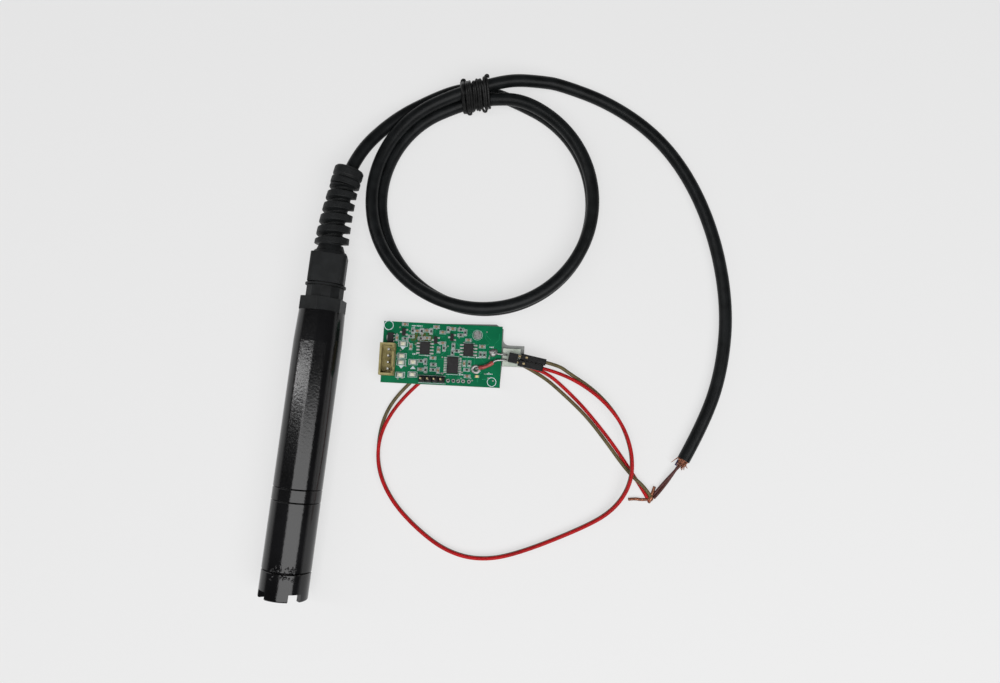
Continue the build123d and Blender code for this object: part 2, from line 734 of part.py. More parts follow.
with BuildPart() as microcontroller_leads:
    gull_leads(*CONTROLLER_AT, 4.4, 6.4, 10, 0.65, 0.25, 0.2)
save(microcontroller_leads.part, "microcontroller_leads")

AMPLIFIERS = ((16.6, 10.0), (33.6, 9.85))
with BuildPart() as amplifier_bodies:
    for chip_u, chip_v in AMPLIFIERS:
        block(chip_u, chip_v, 3.9, 4.9, BOARD_TOP + 0.15, BOARD_TOP + 1.6)
save(amplifier_bodies.part, "amplifier_bodies")

with BuildPart() as amplifier_leads:
    for chip_u, chip_v in AMPLIFIERS:
        gull_leads(chip_u, chip_v, 3.9, 6.0, 4, 1.27, 0.42, 0.25)
save(amplifier_leads.part, "amplifier_leads")

TRANSISTORS = ((8.0, 4.0), (20.6, 6.6), (26.9, 5.2))
with BuildPart() as transistor_bodies:
    for chip_u, chip_v in TRANSISTORS:
        block(chip_u, chip_v, 1.4, 2.9, BOARD_TOP + 0.1, BOARD_TOP + 1.1)
save(transistor_bodies.part, "transistor_bodies")

with BuildPart() as transistor_leads:
    for chip_u, chip_v in TRANSISTORS:
        block(chip_u - 1.0, chip_v, 0.6, 0.45, BOARD_TOP, BOARD_TOP + 0.2)
        block(chip_u + 1.0, chip_v - 0.95, 0.6, 0.45, BOARD_TOP, BOARD_TOP + 0.2)
        block(chip_u + 1.0, chip_v + 0.95, 0.6, 0.45, BOARD_TOP, BOARD_TOP + 0.2)
save(transistor_leads.part, "transistor_leads")

with BuildPart() as regulator:
    block(2.9, 6.4, 2.6, 3.8, BOARD_TOP, BOARD_TOP + 1.5)
save(regulator.part, "regulator")

LAMPS = ((7.9, 8.6), (7.7, 13.4), (7.6, 16.0), (7.5, 20.8), (12.3, 15.6), (12.3, 20.4))
with BuildPart() as indicator_leds:
    for place in LAMPS:
        block(*place, 2.6, 1.6, BOARD_TOP, BOARD_TOP + 1.0)
    block(37.4, 20.0, 1.6, 1.0, BOARD_TOP, BOARD_TOP + 0.8)
save(indicator_leds.part, "indicator_leds")

CAPACITORS = [
    (8.3, 0.9),
    (13.2, 3.3),
    (16.9, 3.0),
    (20.6, 1.4),
    (23.2, 3.4),
    (27.0, 1.8),
    (17.2, 5.9),
    (5.4, 6.4, 1),
    (11.0, 9.6, 1),
    (21.9, 10.3, 1),
    (23.4, 7.6),
    (19.9, 13.6),
    (33.4, 6.0),
    (38.9, 8.2),
    (32.2, 15.2, 1),
    (22.1, 18.4, 1),
    (15.3, 18.3),
    (33.6, 20.1),
]
RESISTORS = [
    (10.9, 5.6),
    (11.5, 3.3, 1),
    (14.9, 3.3, 1),
    (18.6, 3.2, 1),
    (25.3, 2.3, 1),
    (30.2, 2.0),
    (30.2, 4.2),
    (32.0, 3.1, 1),
    (8.6, 6.6),
    (14.8, 6.2),
    (24.0, 9.6, 1),
    (27.6, 8.6, 1),
    (29.0, 10.4),
    (27.4, 11.2, 1),
    (38.4, 11.4, 1),
    (39.9, 11.4, 1),
    (34.2, 15.2, 1),
    (33.3, 17.6),
    (15.3, 15.0),
    (17.0, 15.2, 1),
    (17.3, 18.4, 1),
    (20.2, 16.2),
    (20.2, 18.2),
]
with BuildPart() as ceramic_capacitors:
    chips(CAPACITORS, 1.6, 0.8, 0.8)
save(ceramic_capacitors.part, "ceramic_capacitors")

with BuildPart() as resistors:
    chips(RESISTORS, 1.5, 0.75, 0.5)
save(resistors.part, "resistors")

PAD_ROW_V = 22.1
with BuildPart() as solder_pads:
    for place_u in (26.2, 28.3, 30.2, 32.1, 34.4):
        pillar(place_u, PAD_ROW_V, 0.75, BOARD_TOP, BOARD_TOP + 0.12)
    pillar(36.8, 3.8, 1.6, BOARD_TOP, BOARD_TOP + 0.12)
    pillar(*RING_PAD, 1.8, BOARD_TOP, BOARD_TOP + 0.12)
    pillar(*RING_PAD, RING_HOLE_R, BOARD_TOP, BOARD_TOP + 0.2, Mode.SUBTRACT)
    pillar(43.3, 10.4, 1.6, BOARD_TOP, BOARD_TOP + 0.5)
save(solder_pads.part, "solder_pads")

WIRE_D = 0.7


def board_route(points):
    """Lift a list of (u, v, height above the floor) points on the board into the frame."""
    return [board_plane(height).from_local_coords(Vector(u, -v, 0)) for u, v, height in points]


with BuildPart() as link_wire:
    tube(board_route([(44.4, 10.8, 5.75), (46.6, 11.0, 5.9), (48.4, 11.0, 5.25)]), WIRE_D, "link wire")
save(link_wire.part, "link_wire")

with BuildPart() as link_sleeve:
    tube(board_route([(38.3, 16.5, 6.2), (41.0, 16.0, 6.2), (43.6, 14.2, 6.1)]), 1.5, "link sleeve")
save(link_sleeve.part, "link_sleeve")

with BuildPart() as sleeved_wire:
    tube(board_route([(43.6, 14.2, 6.1), (45.6, 13.2, 6.0), (48.4, 13.0, 5.25)]), WIRE_D, "sleeved wire")
save(sleeved_wire.part, "sleeved_wire")
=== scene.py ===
"""The looks of a wired ultrasonic distance sensor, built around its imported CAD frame."""

import json
import math
import random

import bmesh
import bpy
from mathutils import Matrix, Vector, noise


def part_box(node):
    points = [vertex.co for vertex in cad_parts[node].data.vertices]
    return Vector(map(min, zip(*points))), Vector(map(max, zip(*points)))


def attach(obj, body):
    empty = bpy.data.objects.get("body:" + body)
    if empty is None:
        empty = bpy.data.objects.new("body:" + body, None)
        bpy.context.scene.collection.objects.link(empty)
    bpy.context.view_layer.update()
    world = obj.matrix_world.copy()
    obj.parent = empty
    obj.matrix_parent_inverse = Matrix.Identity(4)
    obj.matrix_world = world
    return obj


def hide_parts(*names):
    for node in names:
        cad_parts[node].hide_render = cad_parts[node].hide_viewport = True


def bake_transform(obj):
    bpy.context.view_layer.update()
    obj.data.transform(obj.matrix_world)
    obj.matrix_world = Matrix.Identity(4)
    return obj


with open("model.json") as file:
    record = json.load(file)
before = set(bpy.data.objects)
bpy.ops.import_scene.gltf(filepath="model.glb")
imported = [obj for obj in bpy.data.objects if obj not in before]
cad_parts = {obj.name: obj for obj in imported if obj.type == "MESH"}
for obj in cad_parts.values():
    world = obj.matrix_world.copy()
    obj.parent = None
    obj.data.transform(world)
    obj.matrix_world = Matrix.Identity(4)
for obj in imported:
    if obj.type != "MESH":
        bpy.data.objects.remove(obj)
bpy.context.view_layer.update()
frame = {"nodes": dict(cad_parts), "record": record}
nodes = frame["nodes"]
MM = 0.001
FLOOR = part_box("barrel_tube")[0].z
dice = random.Random(11)


def at(x, y, height):
    """A point from millimetres along X and Y and above the floor."""
    return Vector((x * MM, y * MM, FLOOR + height * MM))


# ---------------------------------------------------------------- mesh and curve helpers
def show(name, data):
    obj = bpy.data.objects.new(name, data)
    bpy.context.collection.objects.link(obj)
    return obj


def mesh_piece(name, build, materials, smooth=True):
    """A mesh object from a function that fills a bmesh."""
    bm = bmesh.new()
    build(bm)
    bmesh.ops.recalc_face_normals(bm, faces=bm.faces)
    mesh = bpy.data.meshes.new(name)
    bm.to_mesh(mesh)
    bm.free()
    for one in materials:
        mesh.materials.append(one)
    for face in mesh.polygons:
        face.use_smooth = smooth
    return show(name, mesh)


def keep(obj, body, slot, *replaced):
    """Ride on a body and stand for CAD nodes; the slot argument is not used."""
    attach(obj, body)
    if replaced:
        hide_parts(*replaced)
    return obj


def nurbs(name, points, radius=0.0):
    """A smooth NURBS curve with the points as its control points."""
    curve = bpy.data.curves.new(name, "CURVE")
    curve.dimensions = "3D"
    curve.resolution_u = 12
    curve.bevel_depth = radius
    curve.bevel_resolution = 7
    curve.use_fill_caps = True
    spline = curve.splines.new("NURBS")
    spline.points.add(len(points) - 1)
    for place, point in zip(spline.points, points):
        place.co = (*point, 1.0)
    spline.order_u = 3
    spline.use_endpoint_u = True
    return show(name, curve)


def centreline(points):
    """The points of a route's NURBS line, as Blender gives them."""
    guide = nurbs("guide", points)
    bpy.context.view_layer.update()
    mesh = bpy.data.meshes.new_from_object(guide)
    line = [vertex.co.copy() for vertex in mesh.vertices]
    bpy.data.meshes.remove(mesh)
    bpy.data.objects.remove(guide)
    return line


def travelling(line):
    """Point, direction and two sides that don't spin, all along a line."""
    side = None
    steps = []
    for index, point in enumerate(line):
        before = line[max(index - 1, 0)]
        after = line[min(index + 1, len(line) - 1)]
        way = (after - before).normalized()
        if side is None:
            side = way.orthogonal().normalized()
        side = (side - way * side.dot(way)).normalized()
        steps.append((point, way, side, way.cross(side)))
    return steps


def lengths(line):
    """Distance along a line at each of its points."""
    run = [0.0]
    for before, after in zip(line, line[1:]):
        run.append(run[-1] + (after - before).length)
    return run


def sweep(bm, line, radius, sides=10, index=0):
    """A round tube along a line; the radius is a number or a function of the share of the length."""
    run = lengths(line)
    rings = []
    for (point, way, side, other), gone in zip(travelling(line), run):
        size = radius(gone / run[-1]) if callable(radius) else radius
        ring = []
        for step in range(sides):
            turn = 2 * math.pi * step / sides
            ring.append(bm.verts.new(point + (side * math.cos(turn) + other * math.sin(turn)) * size))
        rings.append(ring)
    made = []
    for low, high in zip(rings, rings[1:]):
        for step in range(sides):
            after = (step + 1) % sides
            made.append(bm.faces.new((low[step], low[after], high[after], high[step])))
    made.append(bm.faces.new(list(reversed(rings[0]))))
    made.append(bm.faces.new(rings[-1]))
    for face in made:
        face.material_index = index


def wound(line, radius, pitch, phase):
    """A strand that winds about a line."""
    out = []
    for (point, way, side, other), gone in zip(travelling(line), lengths(line)):
        turn = phase + 2 * math.pi * gone / pitch
        out.append(point + (side * math.cos(turn) + other * math.sin(turn)) * radius)
    return out


def block(bm, matrix, long, wide, low, high, bevel=0.0, index=0, taper=0.0):
    """A bevelled block; sizes in millimetres in the axes of the matrix."""
    corners = []
    for height, shrink in ((low, 0.0), (high, taper)):
        for sx, sy in ((-1, -1), (1, -1), (1, 1), (-1, 1)):
            local = Vector((sx * (long / 2 - shrink) * MM, sy * (wide / 2 - shrink) * MM, height * MM))
            corners.append(bm.verts.new(matrix @ local))
    faces = [(3, 2, 1, 0), (4, 5, 6, 7), (0, 1, 5, 4), (1, 2, 6, 5), (2, 3, 7, 6), (3, 0, 4, 7)]
    made = [bm.faces.new([corners[i] for i in face]) for face in faces]
    for face in made:
        face.material_index = index
    if bevel:
        edges = list({edge for face in made for edge in face.edges})
        grown = bmesh.ops.bevel(bm, geom=edges, offset=bevel * MM, segments=2, profile=0.6, affect="EDGES")
        for face in grown["faces"]:
            face.material_index = index


def dome(bm, matrix, radius, height, index=0, rings=6, sides=20, hole=0.0, wave=0.0):
    """A flattened dome or a rounded ring about the matrix's own Z; sizes in millimetres."""
    loops = []
    for ring in range(rings + 1):
        share = ring / rings
        across = radius + (hole - radius) * share
        if hole:
            lift = height * math.sin(math.pi * share) ** 0.6
        else:
            lift = height * math.sqrt(max(0.0, 1 - (across / radius) ** 2))
        loop = []
        for step in range(sides):
            turn = 2 * math.pi * step / sides
            spot = matrix.translation * 900 + Vector((math.cos(turn), math.sin(turn), 0))
            wobble = 1 + wave * noise.noise(spot)
            local = Vector((math.cos(turn) * across * wobble, math.sin(turn) * across * wobble, lift)) * MM
            loop.append(bm.verts.new(matrix @ local))
            if not hole and ring == rings:
                break
        loops.append(loop)
    for low, high in zip(loops, loops[1:]):
        for step in range(sides):
            after = (step + 1) % sides
            if len(high) == 1:
                bm.faces.new((low[step], low[after], high[0])).material_index = index
            else:
                bm.faces.new((low[step], low[after], high[after], high[step])).material_index = index


# ---------------------------------------------------------------- materials
def finish(
    name,
    colour,
    rough=0.5,
    spread=0.12,
    spread_size=3.0,
    grain=0.0,
    grain_size=0.25,
    metal=0.0,
    coat=0.0,
    second=None,
    stretch=(1, 1, 1),
    rough_spread=0.08,
    shine=0.5,
):
    """A moulded, printed or metal surface: colour and gloss vary over spread_size, bumps over grain_size."""
    material = bpy.data.materials.new(name)
    material.use_nodes = True
    tree = material.node_tree
    shader = tree.nodes["Principled BSDF"]
    coords = tree.nodes.new("ShaderNodeTexCoord")
    mapping = tree.nodes.new("ShaderNodeMapping")
    mapping.inputs["Scale"].default_value = stretch
    tree.links.new(coords.outputs["Object"], mapping.inputs["Vector"])
    cloud = tree.nodes.new("ShaderNodeTexNoise")
    cloud.inputs["Scale"].default_value = 1000 / spread_size
    cloud.inputs["Detail"].default_value = 5
    tree.links.new(mapping.outputs["Vector"], cloud.inputs["Vector"])
    mix = tree.nodes.new("ShaderNodeMix")
    mix.data_type = "RGBA"
    dark = [c * (1 - spread) for c in colour]
    light = [min(1.0, c * (1 + spread)) for c in (second or colour)]
    mix.inputs["A"].default_value = (*dark, 1)
    mix.inputs["B"].default_value = (*light, 1)
    ramp = tree.nodes.new("ShaderNodeMapRange")
    ramp.inputs["From Min"].default_value = 0.35
    ramp.inputs["From Max"].default_value = 0.65
    tree.links.new(cloud.outputs["Fac"], ramp.inputs["Value"])
    tree.links.new(ramp.outputs["Result"], mix.inputs["Factor"])
    tree.links.new(mix.outputs["Result"], shader.inputs["Base Color"])
    gloss = tree.nodes.new("ShaderNodeMapRange")
    gloss.inputs["To Min"].default_value = max(0.02, rough - rough_spread)
    gloss.inputs["To Max"].default_value = min(1.0, rough + rough_spread)
    fine = tree.nodes.new("ShaderNodeTexNoise")
    fine.inputs["Scale"].default_value = 1000 / grain_size
    fine.inputs["Detail"].default_value = 3
    tree.links.new(mapping.outputs["Vector"], fine.inputs["Vector"])
    tree.links.new(fine.outputs["Fac"], gloss.inputs["Value"])
    tree.links.new(gloss.outputs["Result"], shader.inputs["Roughness"])
    if grain:
        bump = tree.nodes.new("ShaderNodeBump")
        bump.inputs["Strength"].default_value = grain
        bump.inputs["Distance"].default_value = grain_size * 0.15 * MM
        tree.links.new(fine.outputs["Fac"], bump.inputs["Height"])
        tree.links.new(bump.outputs["Normal"], shader.inputs["Normal"])
    shader.inputs["Metallic"].default_value = metal
    shader.inputs["Coat Weight"].default_value = coat
    shader.inputs["Coat Roughness"].default_value = 0.1
    shader.inputs["Specular IOR Level"].default_value = shine
    return material


looks = {
    "probe_black": finish(
        "probe_black", (0.004, 0.004, 0.0045), 0.14, 0.5, 14, 0.2, 0.9,
        rough_spread=0.04, shine=0.45,
    ),
    "gland_nylon": finish("gland_nylon", (0.0105, 0.0115, 0.012), 0.5, 0.3, 4, 0.7, 0.22, shine=0.2),
    "seal_rubber": finish("seal_rubber", (0.012, 0.012, 0.012), 0.7, 0.3, 3, 0.5, 0.2, shine=0.2),
    "cup_aluminium": finish("cup_aluminium", (0.62, 0.62, 0.63), 0.35, 0.1, 2, 0.3, 0.2, metal=1.0),
    "matching_epoxy": finish("matching_epoxy", (0.42, 0.44, 0.43), 0.55, 0.15, 1, 0.4, 0.15),
    "piezo_ceramic": finish("piezo_ceramic", (0.7, 0.66, 0.55), 0.4, 0.1, 1, 0.3, 0.2),
    "backing_rubber": finish("backing_rubber", (0.05, 0.05, 0.055), 0.8, 0.2, 2, 0.5, 0.3),
    "potting_resin": finish("potting_resin", (0.03, 0.03, 0.033), 0.3, 0.2, 4, 0.2, 0.6),
    "wire_tinned": finish("wire_tinned", (0.42, 0.42, 0.41), 0.42, 0.12, 0.6, 0.4, 0.15, metal=1.0),
    "cable_jacket": finish(
        "cable_jacket", (0.0075, 0.0085, 0.009), 0.36, 0.35, 5, 0.4, 0.35,
        rough_spread=0.06, shine=0.14,
    ),
    "tie_black": finish("tie_black", (0.01, 0.01, 0.01), 0.42, 0.4, 1.5, 0.6, 0.2, shine=0.2),
    "bare_copper": finish(
        "bare_copper", (0.3, 0.13, 0.08), 0.42, 0.5, 0.8, 0.3, 0.1,
        metal=0.85, second=(0.3, 0.12, 0.07),
    ),
    "core_brown": finish(
        "core_brown", (0.1, 0.035, 0.028), 0.45, 0.2, 1.2, 0.2, 0.2,
        second=(0.09, 0.036, 0.036), shine=0.15,
    ),
    "carrier_grey": finish("carrier_grey", (0.27, 0.28, 0.27), 0.55, 0.1, 3, 0.4, 0.2, shine=0.3),
    "pad_pale": finish(
        "pad_pale", (0.47, 0.53, 0.45), 0.6, 0.08, 2, 0.4, 0.25,
        second=(0.55, 0.6, 0.53), shine=0.3,
    ),
    "socket_beige": finish(
        "socket_beige", (0.3, 0.25, 0.1), 0.5, 0.18, 2.5, 0.4, 0.2,
        second=(0.35, 0.3, 0.14), shine=0.12,
    ),
    "pin_gold": finish("pin_gold", (0.38, 0.3, 0.17), 0.4, 0.15, 0.8, 0.3, 0.15, metal=1.0),
    "housing_black": finish("housing_black", (0.009, 0.009, 0.0095), 0.4, 0.3, 2, 0.5, 0.15, shine=0.2),
    "chip_black": finish("chip_black", (0.014, 0.013, 0.014), 0.55, 0.25, 0.8, 0.8, 0.1, shine=0.3),
    "capacitor_tan": finish(
        "capacitor_tan", (0.25, 0.13, 0.06), 0.45, 0.25, 0.4, 0.4, 0.12,
        second=(0.32, 0.2, 0.1),
    ),
    "resistor_dark": finish("resistor_dark", (0.012, 0.012, 0.014), 0.35, 0.2, 0.5, 0.3, 0.1),
    "lamp_pale": finish(
        "lamp_pale", (0.72, 0.68, 0.48), 0.35, 0.1, 0.6, 0.3, 0.15,
        second=(0.78, 0.76, 0.62),
    ),
    "solder": finish("solder", (0.36, 0.36, 0.35), 0.45, 0.2, 0.5, 0.7, 0.2, metal=0.95),
    "sleeve_red": finish(
        "sleeve_red", (0.3, 0.03, 0.03), 0.42, 0.3, 1.0, 0.7, 0.2,
        second=(0.38, 0.07, 0.06),
    ),
    "lead_red": finish(
        "lead_red", (0.42, 0.008, 0.01), 0.36, 0.15, 4, 0.3, 0.2,
        rough_spread=0.06, shine=0.12,
    ),
    "lead_olive": finish(
        "lead_olive", (0.115, 0.09, 0.038), 0.38, 0.2, 4, 0.3, 0.2,
        rough_spread=0.06, shine=0.2,
    ),
    "silk": finish("silk", (0.6, 0.68, 0.72), 0.6, 0.1, 0.5, 0.3, 0.1),
    "trace": finish("trace", (0.004, 0.2, 0.085), 0.32, 0.1, 2, 0.2, 0.2, shine=0.13),
    "ceramic_white": finish("ceramic_white", (0.62, 0.62, 0.58), 0.5, 0.1, 0.5, 0.3, 0.1),
    "foil_blue": finish("foil_blue", (0.01, 0.012, 0.11), 0.3, 0.3, 0.6, 0.4, 0.2),
    # near-black finish of painted shade, laid as flat discs in open holes
    "hole_painted_shade": finish("hole_painted_shade", (0.01, 0.012, 0.01), 0.7, 0.3, 0.4, 0.3, 0.1),
    "lamp_yellow": finish("lamp_yellow", (0.75, 0.62, 0.25), 0.3, 0.1, 0.5, 0.2, 0.1),
}


def board_green():
    """Solder mask: green, a little uneven, stained brown with flux round the left amplifier."""
    green = (0.0035, 0.15, 0.062)
    material = finish("board_green", green, 0.3, 0.1, 6, 0.25, 0.5, rough_spread=0.06, shine=0.05)
    tree = material.node_tree
    shader = tree.nodes["Principled BSDF"]
    base = shader.inputs["Base Color"].links[0].from_socket
    coords = next(n for n in tree.nodes if n.type == "TEX_COORD")
    place = board_point(15.2, 6.3, 0)
    shift = tree.nodes.new("ShaderNodeMapping")
    shift.inputs["Location"].default_value = (-place.x * 165, -place.y * 210, 0)
    shift.inputs["Scale"].default_value = (165, 210, 0)
    tree.links.new(coords.outputs["Object"], shift.inputs["Vector"])
    blob = tree.nodes.new("ShaderNodeTexGradient")
    blob.gradient_type = "SPHERICAL"
    tree.links.new(shift.outputs["Vector"], blob.inputs["Vector"])
    smear = tree.nodes.new("ShaderNodeTexNoise")
    smear.inputs["Scale"].default_value = 900
    tree.links.new(coords.outputs["Object"], smear.inputs["Vector"])
    product = tree.nodes.new("ShaderNodeMath")
    product.operation = "MULTIPLY"
    tree.links.new(blob.outputs["Fac"], product.inputs[0])
    tree.links.new(smear.outputs["Fac"], product.inputs[1])
    gate = tree.nodes.new("ShaderNodeMapRange")
    gate.inputs["From Min"].default_value = 0.08
    gate.inputs["From Max"].default_value = 0.3
    gate.inputs["To Max"].default_value = 0.75
    tree.links.new(product.outputs["Value"], gate.inputs["Value"])
    mix = tree.nodes.new("ShaderNodeMix")
    mix.data_type = "RGBA"
    mix.inputs["B"].default_value = (0.11, 0.07, 0.015, 1)
    tree.links.new(gate.outputs["Result"], mix.inputs["Factor"])
    tree.links.new(base, mix.inputs["A"])
    tree.links.new(mix.outputs["Result"], shader.inputs["Base Color"])
    return material


# ---------------------------------------------------------------- board axes
BOARD_LOW, BOARD_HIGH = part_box("circuit_board")
BOARD_TURN = math.radians(3.8)
BOARD_LONG = 46.5
BOARD_WIDE = 24.0
TOP = (BOARD_HIGH.z - FLOOR) / MM
board_middle = (BOARD_LOW + BOARD_HIGH) / 2
board_axes = Matrix.Translation((board_middle.x, board_middle.y, FLOOR)) @ Matrix.Rotation(BOARD_TURN, 4, "Z")


def board_frame(u, v, turn=0):
    """Axes at a place on the board, with heights still from the floor."""
    shift = Matrix.Translation(((u - BOARD_LONG / 2) * MM, (BOARD_WIDE / 2 - v) * MM, 0))
    return board_axes @ shift @ Matrix.Rotation(math.radians(turn), 4, "Z")


def board_point(u, v, height):
    return board_frame(u, v) @ Vector((0, 0, height * MM))


looks["board_green"] = board_green()
for row in frame["record"]["subparts"]:
    obj = nodes[row["node"]]
    if not obj.material_slots:
        obj.data.materials.append(None)
    for place in obj.material_slots:
        place.material = looks[row["material_slot"]]

# ---------------------------------------------------------------- cable, from the gland to its stripped end
COIL_MIDDLE = (56.9, 152.7)
TIE_TURN = 11.1
CABLE_R = 2.5
STEP = 18


def round_coil(turn, radius, height):
    """A place on the coil, by degrees clockwise from the tie."""
    angle = math.radians(turn - TIE_TURN)
    return at(COIL_MIDDLE[0] + radius * math.sin(angle), COIL_MIDDLE[1] + radius * math.cos(angle), height)


def eased(value, low, high):
    share = min(1.0, max(0.0, (value - low) / (high - low)))
    return share * share * (3 - 2 * share)


def lower_turn(turn):
    return 43.1 - 1.8 * eased(turn, 180, 262)


def upper_turn(turn):
    return 43.1 + 1.3 * eased(turn, 190, 262)


cable_points = [
    at(0, 124.6, 9.25),
    at(0, 141.67, 9.25),
    at(4.3, 164.5, 8.6),
    at(17.0, 182.5, 4.2),
    at(32.0, 193.4, 2.7),
    round_coil(-8, 47.7, 3.5),
    round_coil(0, 46.8, 3.8),
    round_coil(10, 45.4, 3.2),
]
widen = 1 / math.cos(math.radians(STEP / 2))
for turn in range(24, 340, STEP):
    cable_points.append(round_coil(turn, lower_turn(turn) * widen, 2.5))
cable_points += [round_coil(348, 41.3, 2.9), round_coil(358, 41.5, 4.0), round_coil(368, 41.8, 6.2)]
for turn in range(24, 340, STEP):
    apart = upper_turn(turn) - lower_turn(turn)
    cable_points.append(round_coil(turn, upper_turn(turn) * widen, 2.5 + math.sqrt(25.5 - apart * apart)))
cable_points += [
    round_coil(350, 44.5, 7.6),
    round_coil(360, 45.0, 8.5),
    round_coil(370, 47.6, 8.4),
    round_coil(379, 51.0, 7.0),
    round_coil(389, 54.6, 4.6),
    at(82.0, 205.2, 2.7),
    at(103.5, 199.6, 2.5),
    at(123.8, 187.9, 2.5),
    at(139.3, 170.4, 2.5),
    at(150.9, 147.4, 2.5),
    at(157.5, 121.5, 2.5),
    at(157.6, 98.0, 2.5),
    at(153.2, 77.5, 2.5),
    at(145.8, 60.3, 2.5),
]
cable = nurbs("cable", cable_points, CABLE_R * MM)
cable.data.materials.append(looks["cable_jacket"])
keep(cable, "root", "cable_jacket", "cable_lead_in", "cable_coil", "cable_lead_out")
cable_line = centreline(cable_points)

# ---------------------------------------------------------------- tie: a thin wire round the three strands
tie_out = (round_coil(0, 1, 0) - round_coil(0, 0, 0)).normalized()
tie_along = Vector((tie_out.y, -tie_out.x, 0))
tie_origin = round_coil(0, 0, 0)
WIRE_R = 0.55


def strands_at(along):
    """Where the cable's strands cross a plane through the tie, as (outward, height) in metres."""
    crossings = []
    for before, after in zip(cable_line, cable_line[1:]):
        low = (before - tie_origin).dot(tie_along) - along
        high = (after - tie_origin).dot(tie_along) - along
        if low * high < 0 and (before - tie_origin).dot(tie_out) > 0.03:
            point = before.lerp(after, low / (low - high)) - tie_origin
            crossings.append(Vector((point.dot(tie_out), point.z)))
    return crossings


def wrap_point(along, turn, lift):
    """A point of the wire on the strands' outline, pressed to the floor."""
    way = Vector((math.cos(turn), math.sin(turn)))
    reach = (CABLE_R + WIRE_R + lift) * MM
    far = max(strands_at(along * MM), key=lambda strand: strand.dot(way)) + way * reach
    height = max(far.y, (WIRE_R + 0.03) * MM)
    return tie_origin + tie_along * along * MM + tie_out * far.x + Vector((0, 0, height))


WRAPS = (-5.6, -4.8, -4.0, -3.1, -2.3, -1.4, -0.5, 0.5, 1.4, 2.4, 3.3, 4.3, 5.4)
PER_WRAP = 14
tie_points = []
for wrap, (start, stop) in enumerate(zip(WRAPS, WRAPS[1:])):
    lift = 0.08 + 0.25 * (wrap % 3 == 1) + 0.12 * dice.random()
    for step in range(PER_WRAP):
        share = step / PER_WRAP
        lean = 0.55 * math.sin(2 * math.pi * share + wrap) * (wrap % 4 == 1)
        along = start + (stop - start) * share + lean + 0.12 * dice.uniform(-1, 1)
        tie_points.append(wrap_point(along, math.radians(250) + 2 * math.pi * share, lift))


def loose_end(along, turn, reach, lean):
    """A wire's end: out from the bundle, round in a small loop and back."""
    foot = wrap_point(along, turn, 0.3)
    way = (tie_out * math.cos(turn) + Vector((0, 0, math.sin(turn)))).normalized()
    sideways = tie_along * lean
    return [
        foot,
        foot + way * reach * 0.7 * MM + sideways * 0.2 * MM,
        foot + way * reach * MM + sideways * 1.2 * MM,
        foot + way * reach * 0.55 * MM + sideways * 2.0 * MM,
        foot - way * 0.2 * MM + sideways * 1.7 * MM,
    ]


LOOSE_ENDS = (
    (-5.2, 0.45, 0.8, 0.7),
    (4.3, 0.5, 0.9, 0.7),
    (-3.6, 3.5, 0.8, 0.7),
    (2.6, 3.4, 1.1, 0.7),
)


def build_tie(bm):
    sweep(bm, centreline(tie_points), WIRE_R * MM, 10)
    for along, turn, reach, lean in LOOSE_ENDS:
        sweep(bm, centreline(loose_end(along, turn, reach, lean)), WIRE_R * 0.9 * MM, 8)


tie = keep(mesh_piece("tie_wraps", build_tie, [looks["tie_black"]]), "root", "tie_black", "cable_tie")

# ---------------------------------------------------------------- stripped end: shield, cores, splice
CORE_POINTS = [at(145.8, 60.3, 2.5), at(142.6, 55.0, 1.7), at(139.0, 49.4, 1.2), at(135.7, 44.6, 1.2)]
core_line = centreline(CORE_POINTS)
end_way = (CORE_POINTS[1] - CORE_POINTS[0]).normalized()
end_side = end_way.cross(Vector((0, 0, 1))).normalized()


def build_cores(bm):
    for phase in (0.3, 0.3 + math.pi):
        sweep(bm, wound(core_line, 0.5 * MM, 40 * MM, phase), 0.55 * MM, 12)


cores = mesh_piece("twisted_cores", build_cores, [looks["core_brown"]])
keep(cores, "root", "core_brown", "cable_cores")


def build_shield(bm):
    """Fine strands that leave the jacket, most laid back along the cores, some astray."""
    start = CORE_POINTS[0]
    for index in range(52):
        turn = 2 * math.pi * index / 52 + dice.uniform(-0.1, 0.1)
        out = end_side * math.cos(turn) + Vector((0, 0, math.sin(turn)))
        stray = index % 17 == 0
        reach = dice.uniform(1.8, 3.4) if not stray else dice.uniform(2.5, 4.0)
        first = start - end_way * 0.6 * MM + out * dice.uniform(1.5, 2.1) * MM
        second = first + end_way * reach * 0.5 * MM + out * (0.9 if stray else -0.1) * MM
        apart = dice.uniform(2.4, 3.4) if stray else dice.uniform(0.8, 1.5)
        third = start + end_way * reach * MM + out * apart * MM
        third.z = max(third.z, FLOOR + 0.2 * MM)
        sweep(bm, centreline([first, second, third]), 0.11 * MM, 6)
    for side, reach in ((2.6, 2.8), (3.3, 1.4), (2.0, 3.4)):
        tip = start + end_way * reach * MM - end_side * side * MM - Vector((0, 0, 0.8)) * MM
        tip.z = max(tip.z, FLOOR + 0.3 * MM)
        bend = start + end_way * 1.6 * MM - end_side * (side * 0.6) * MM
        strand = centreline([start - end_side * 1.4 * MM, bend, tip])
        sweep(bm, strand, lambda share: (0.34 - 0.2 * share) * MM, 7)
    film = start + end_side * 1.5 * MM + end_way * 1.2 * MM
    sweep(bm, [film, film + end_way * 2.2 * MM - end_side * 0.35 * MM], 0.42 * MM, 10, 1)


shield = mesh_piece("shield_wires", build_shield, [looks["bare_copper"], looks["foil_blue"]])
keep(shield, "root", "bare_copper", "shield_strands")


def twist(bm, points, strands, wide, thin, pitch):
    """Bare strands twisted together."""
    line = centreline(points)
    for index in range(strands):
        sweep(bm, wound(line, wide * MM, pitch * MM, 2 * math.pi * index / strands), thin * MM, 6)


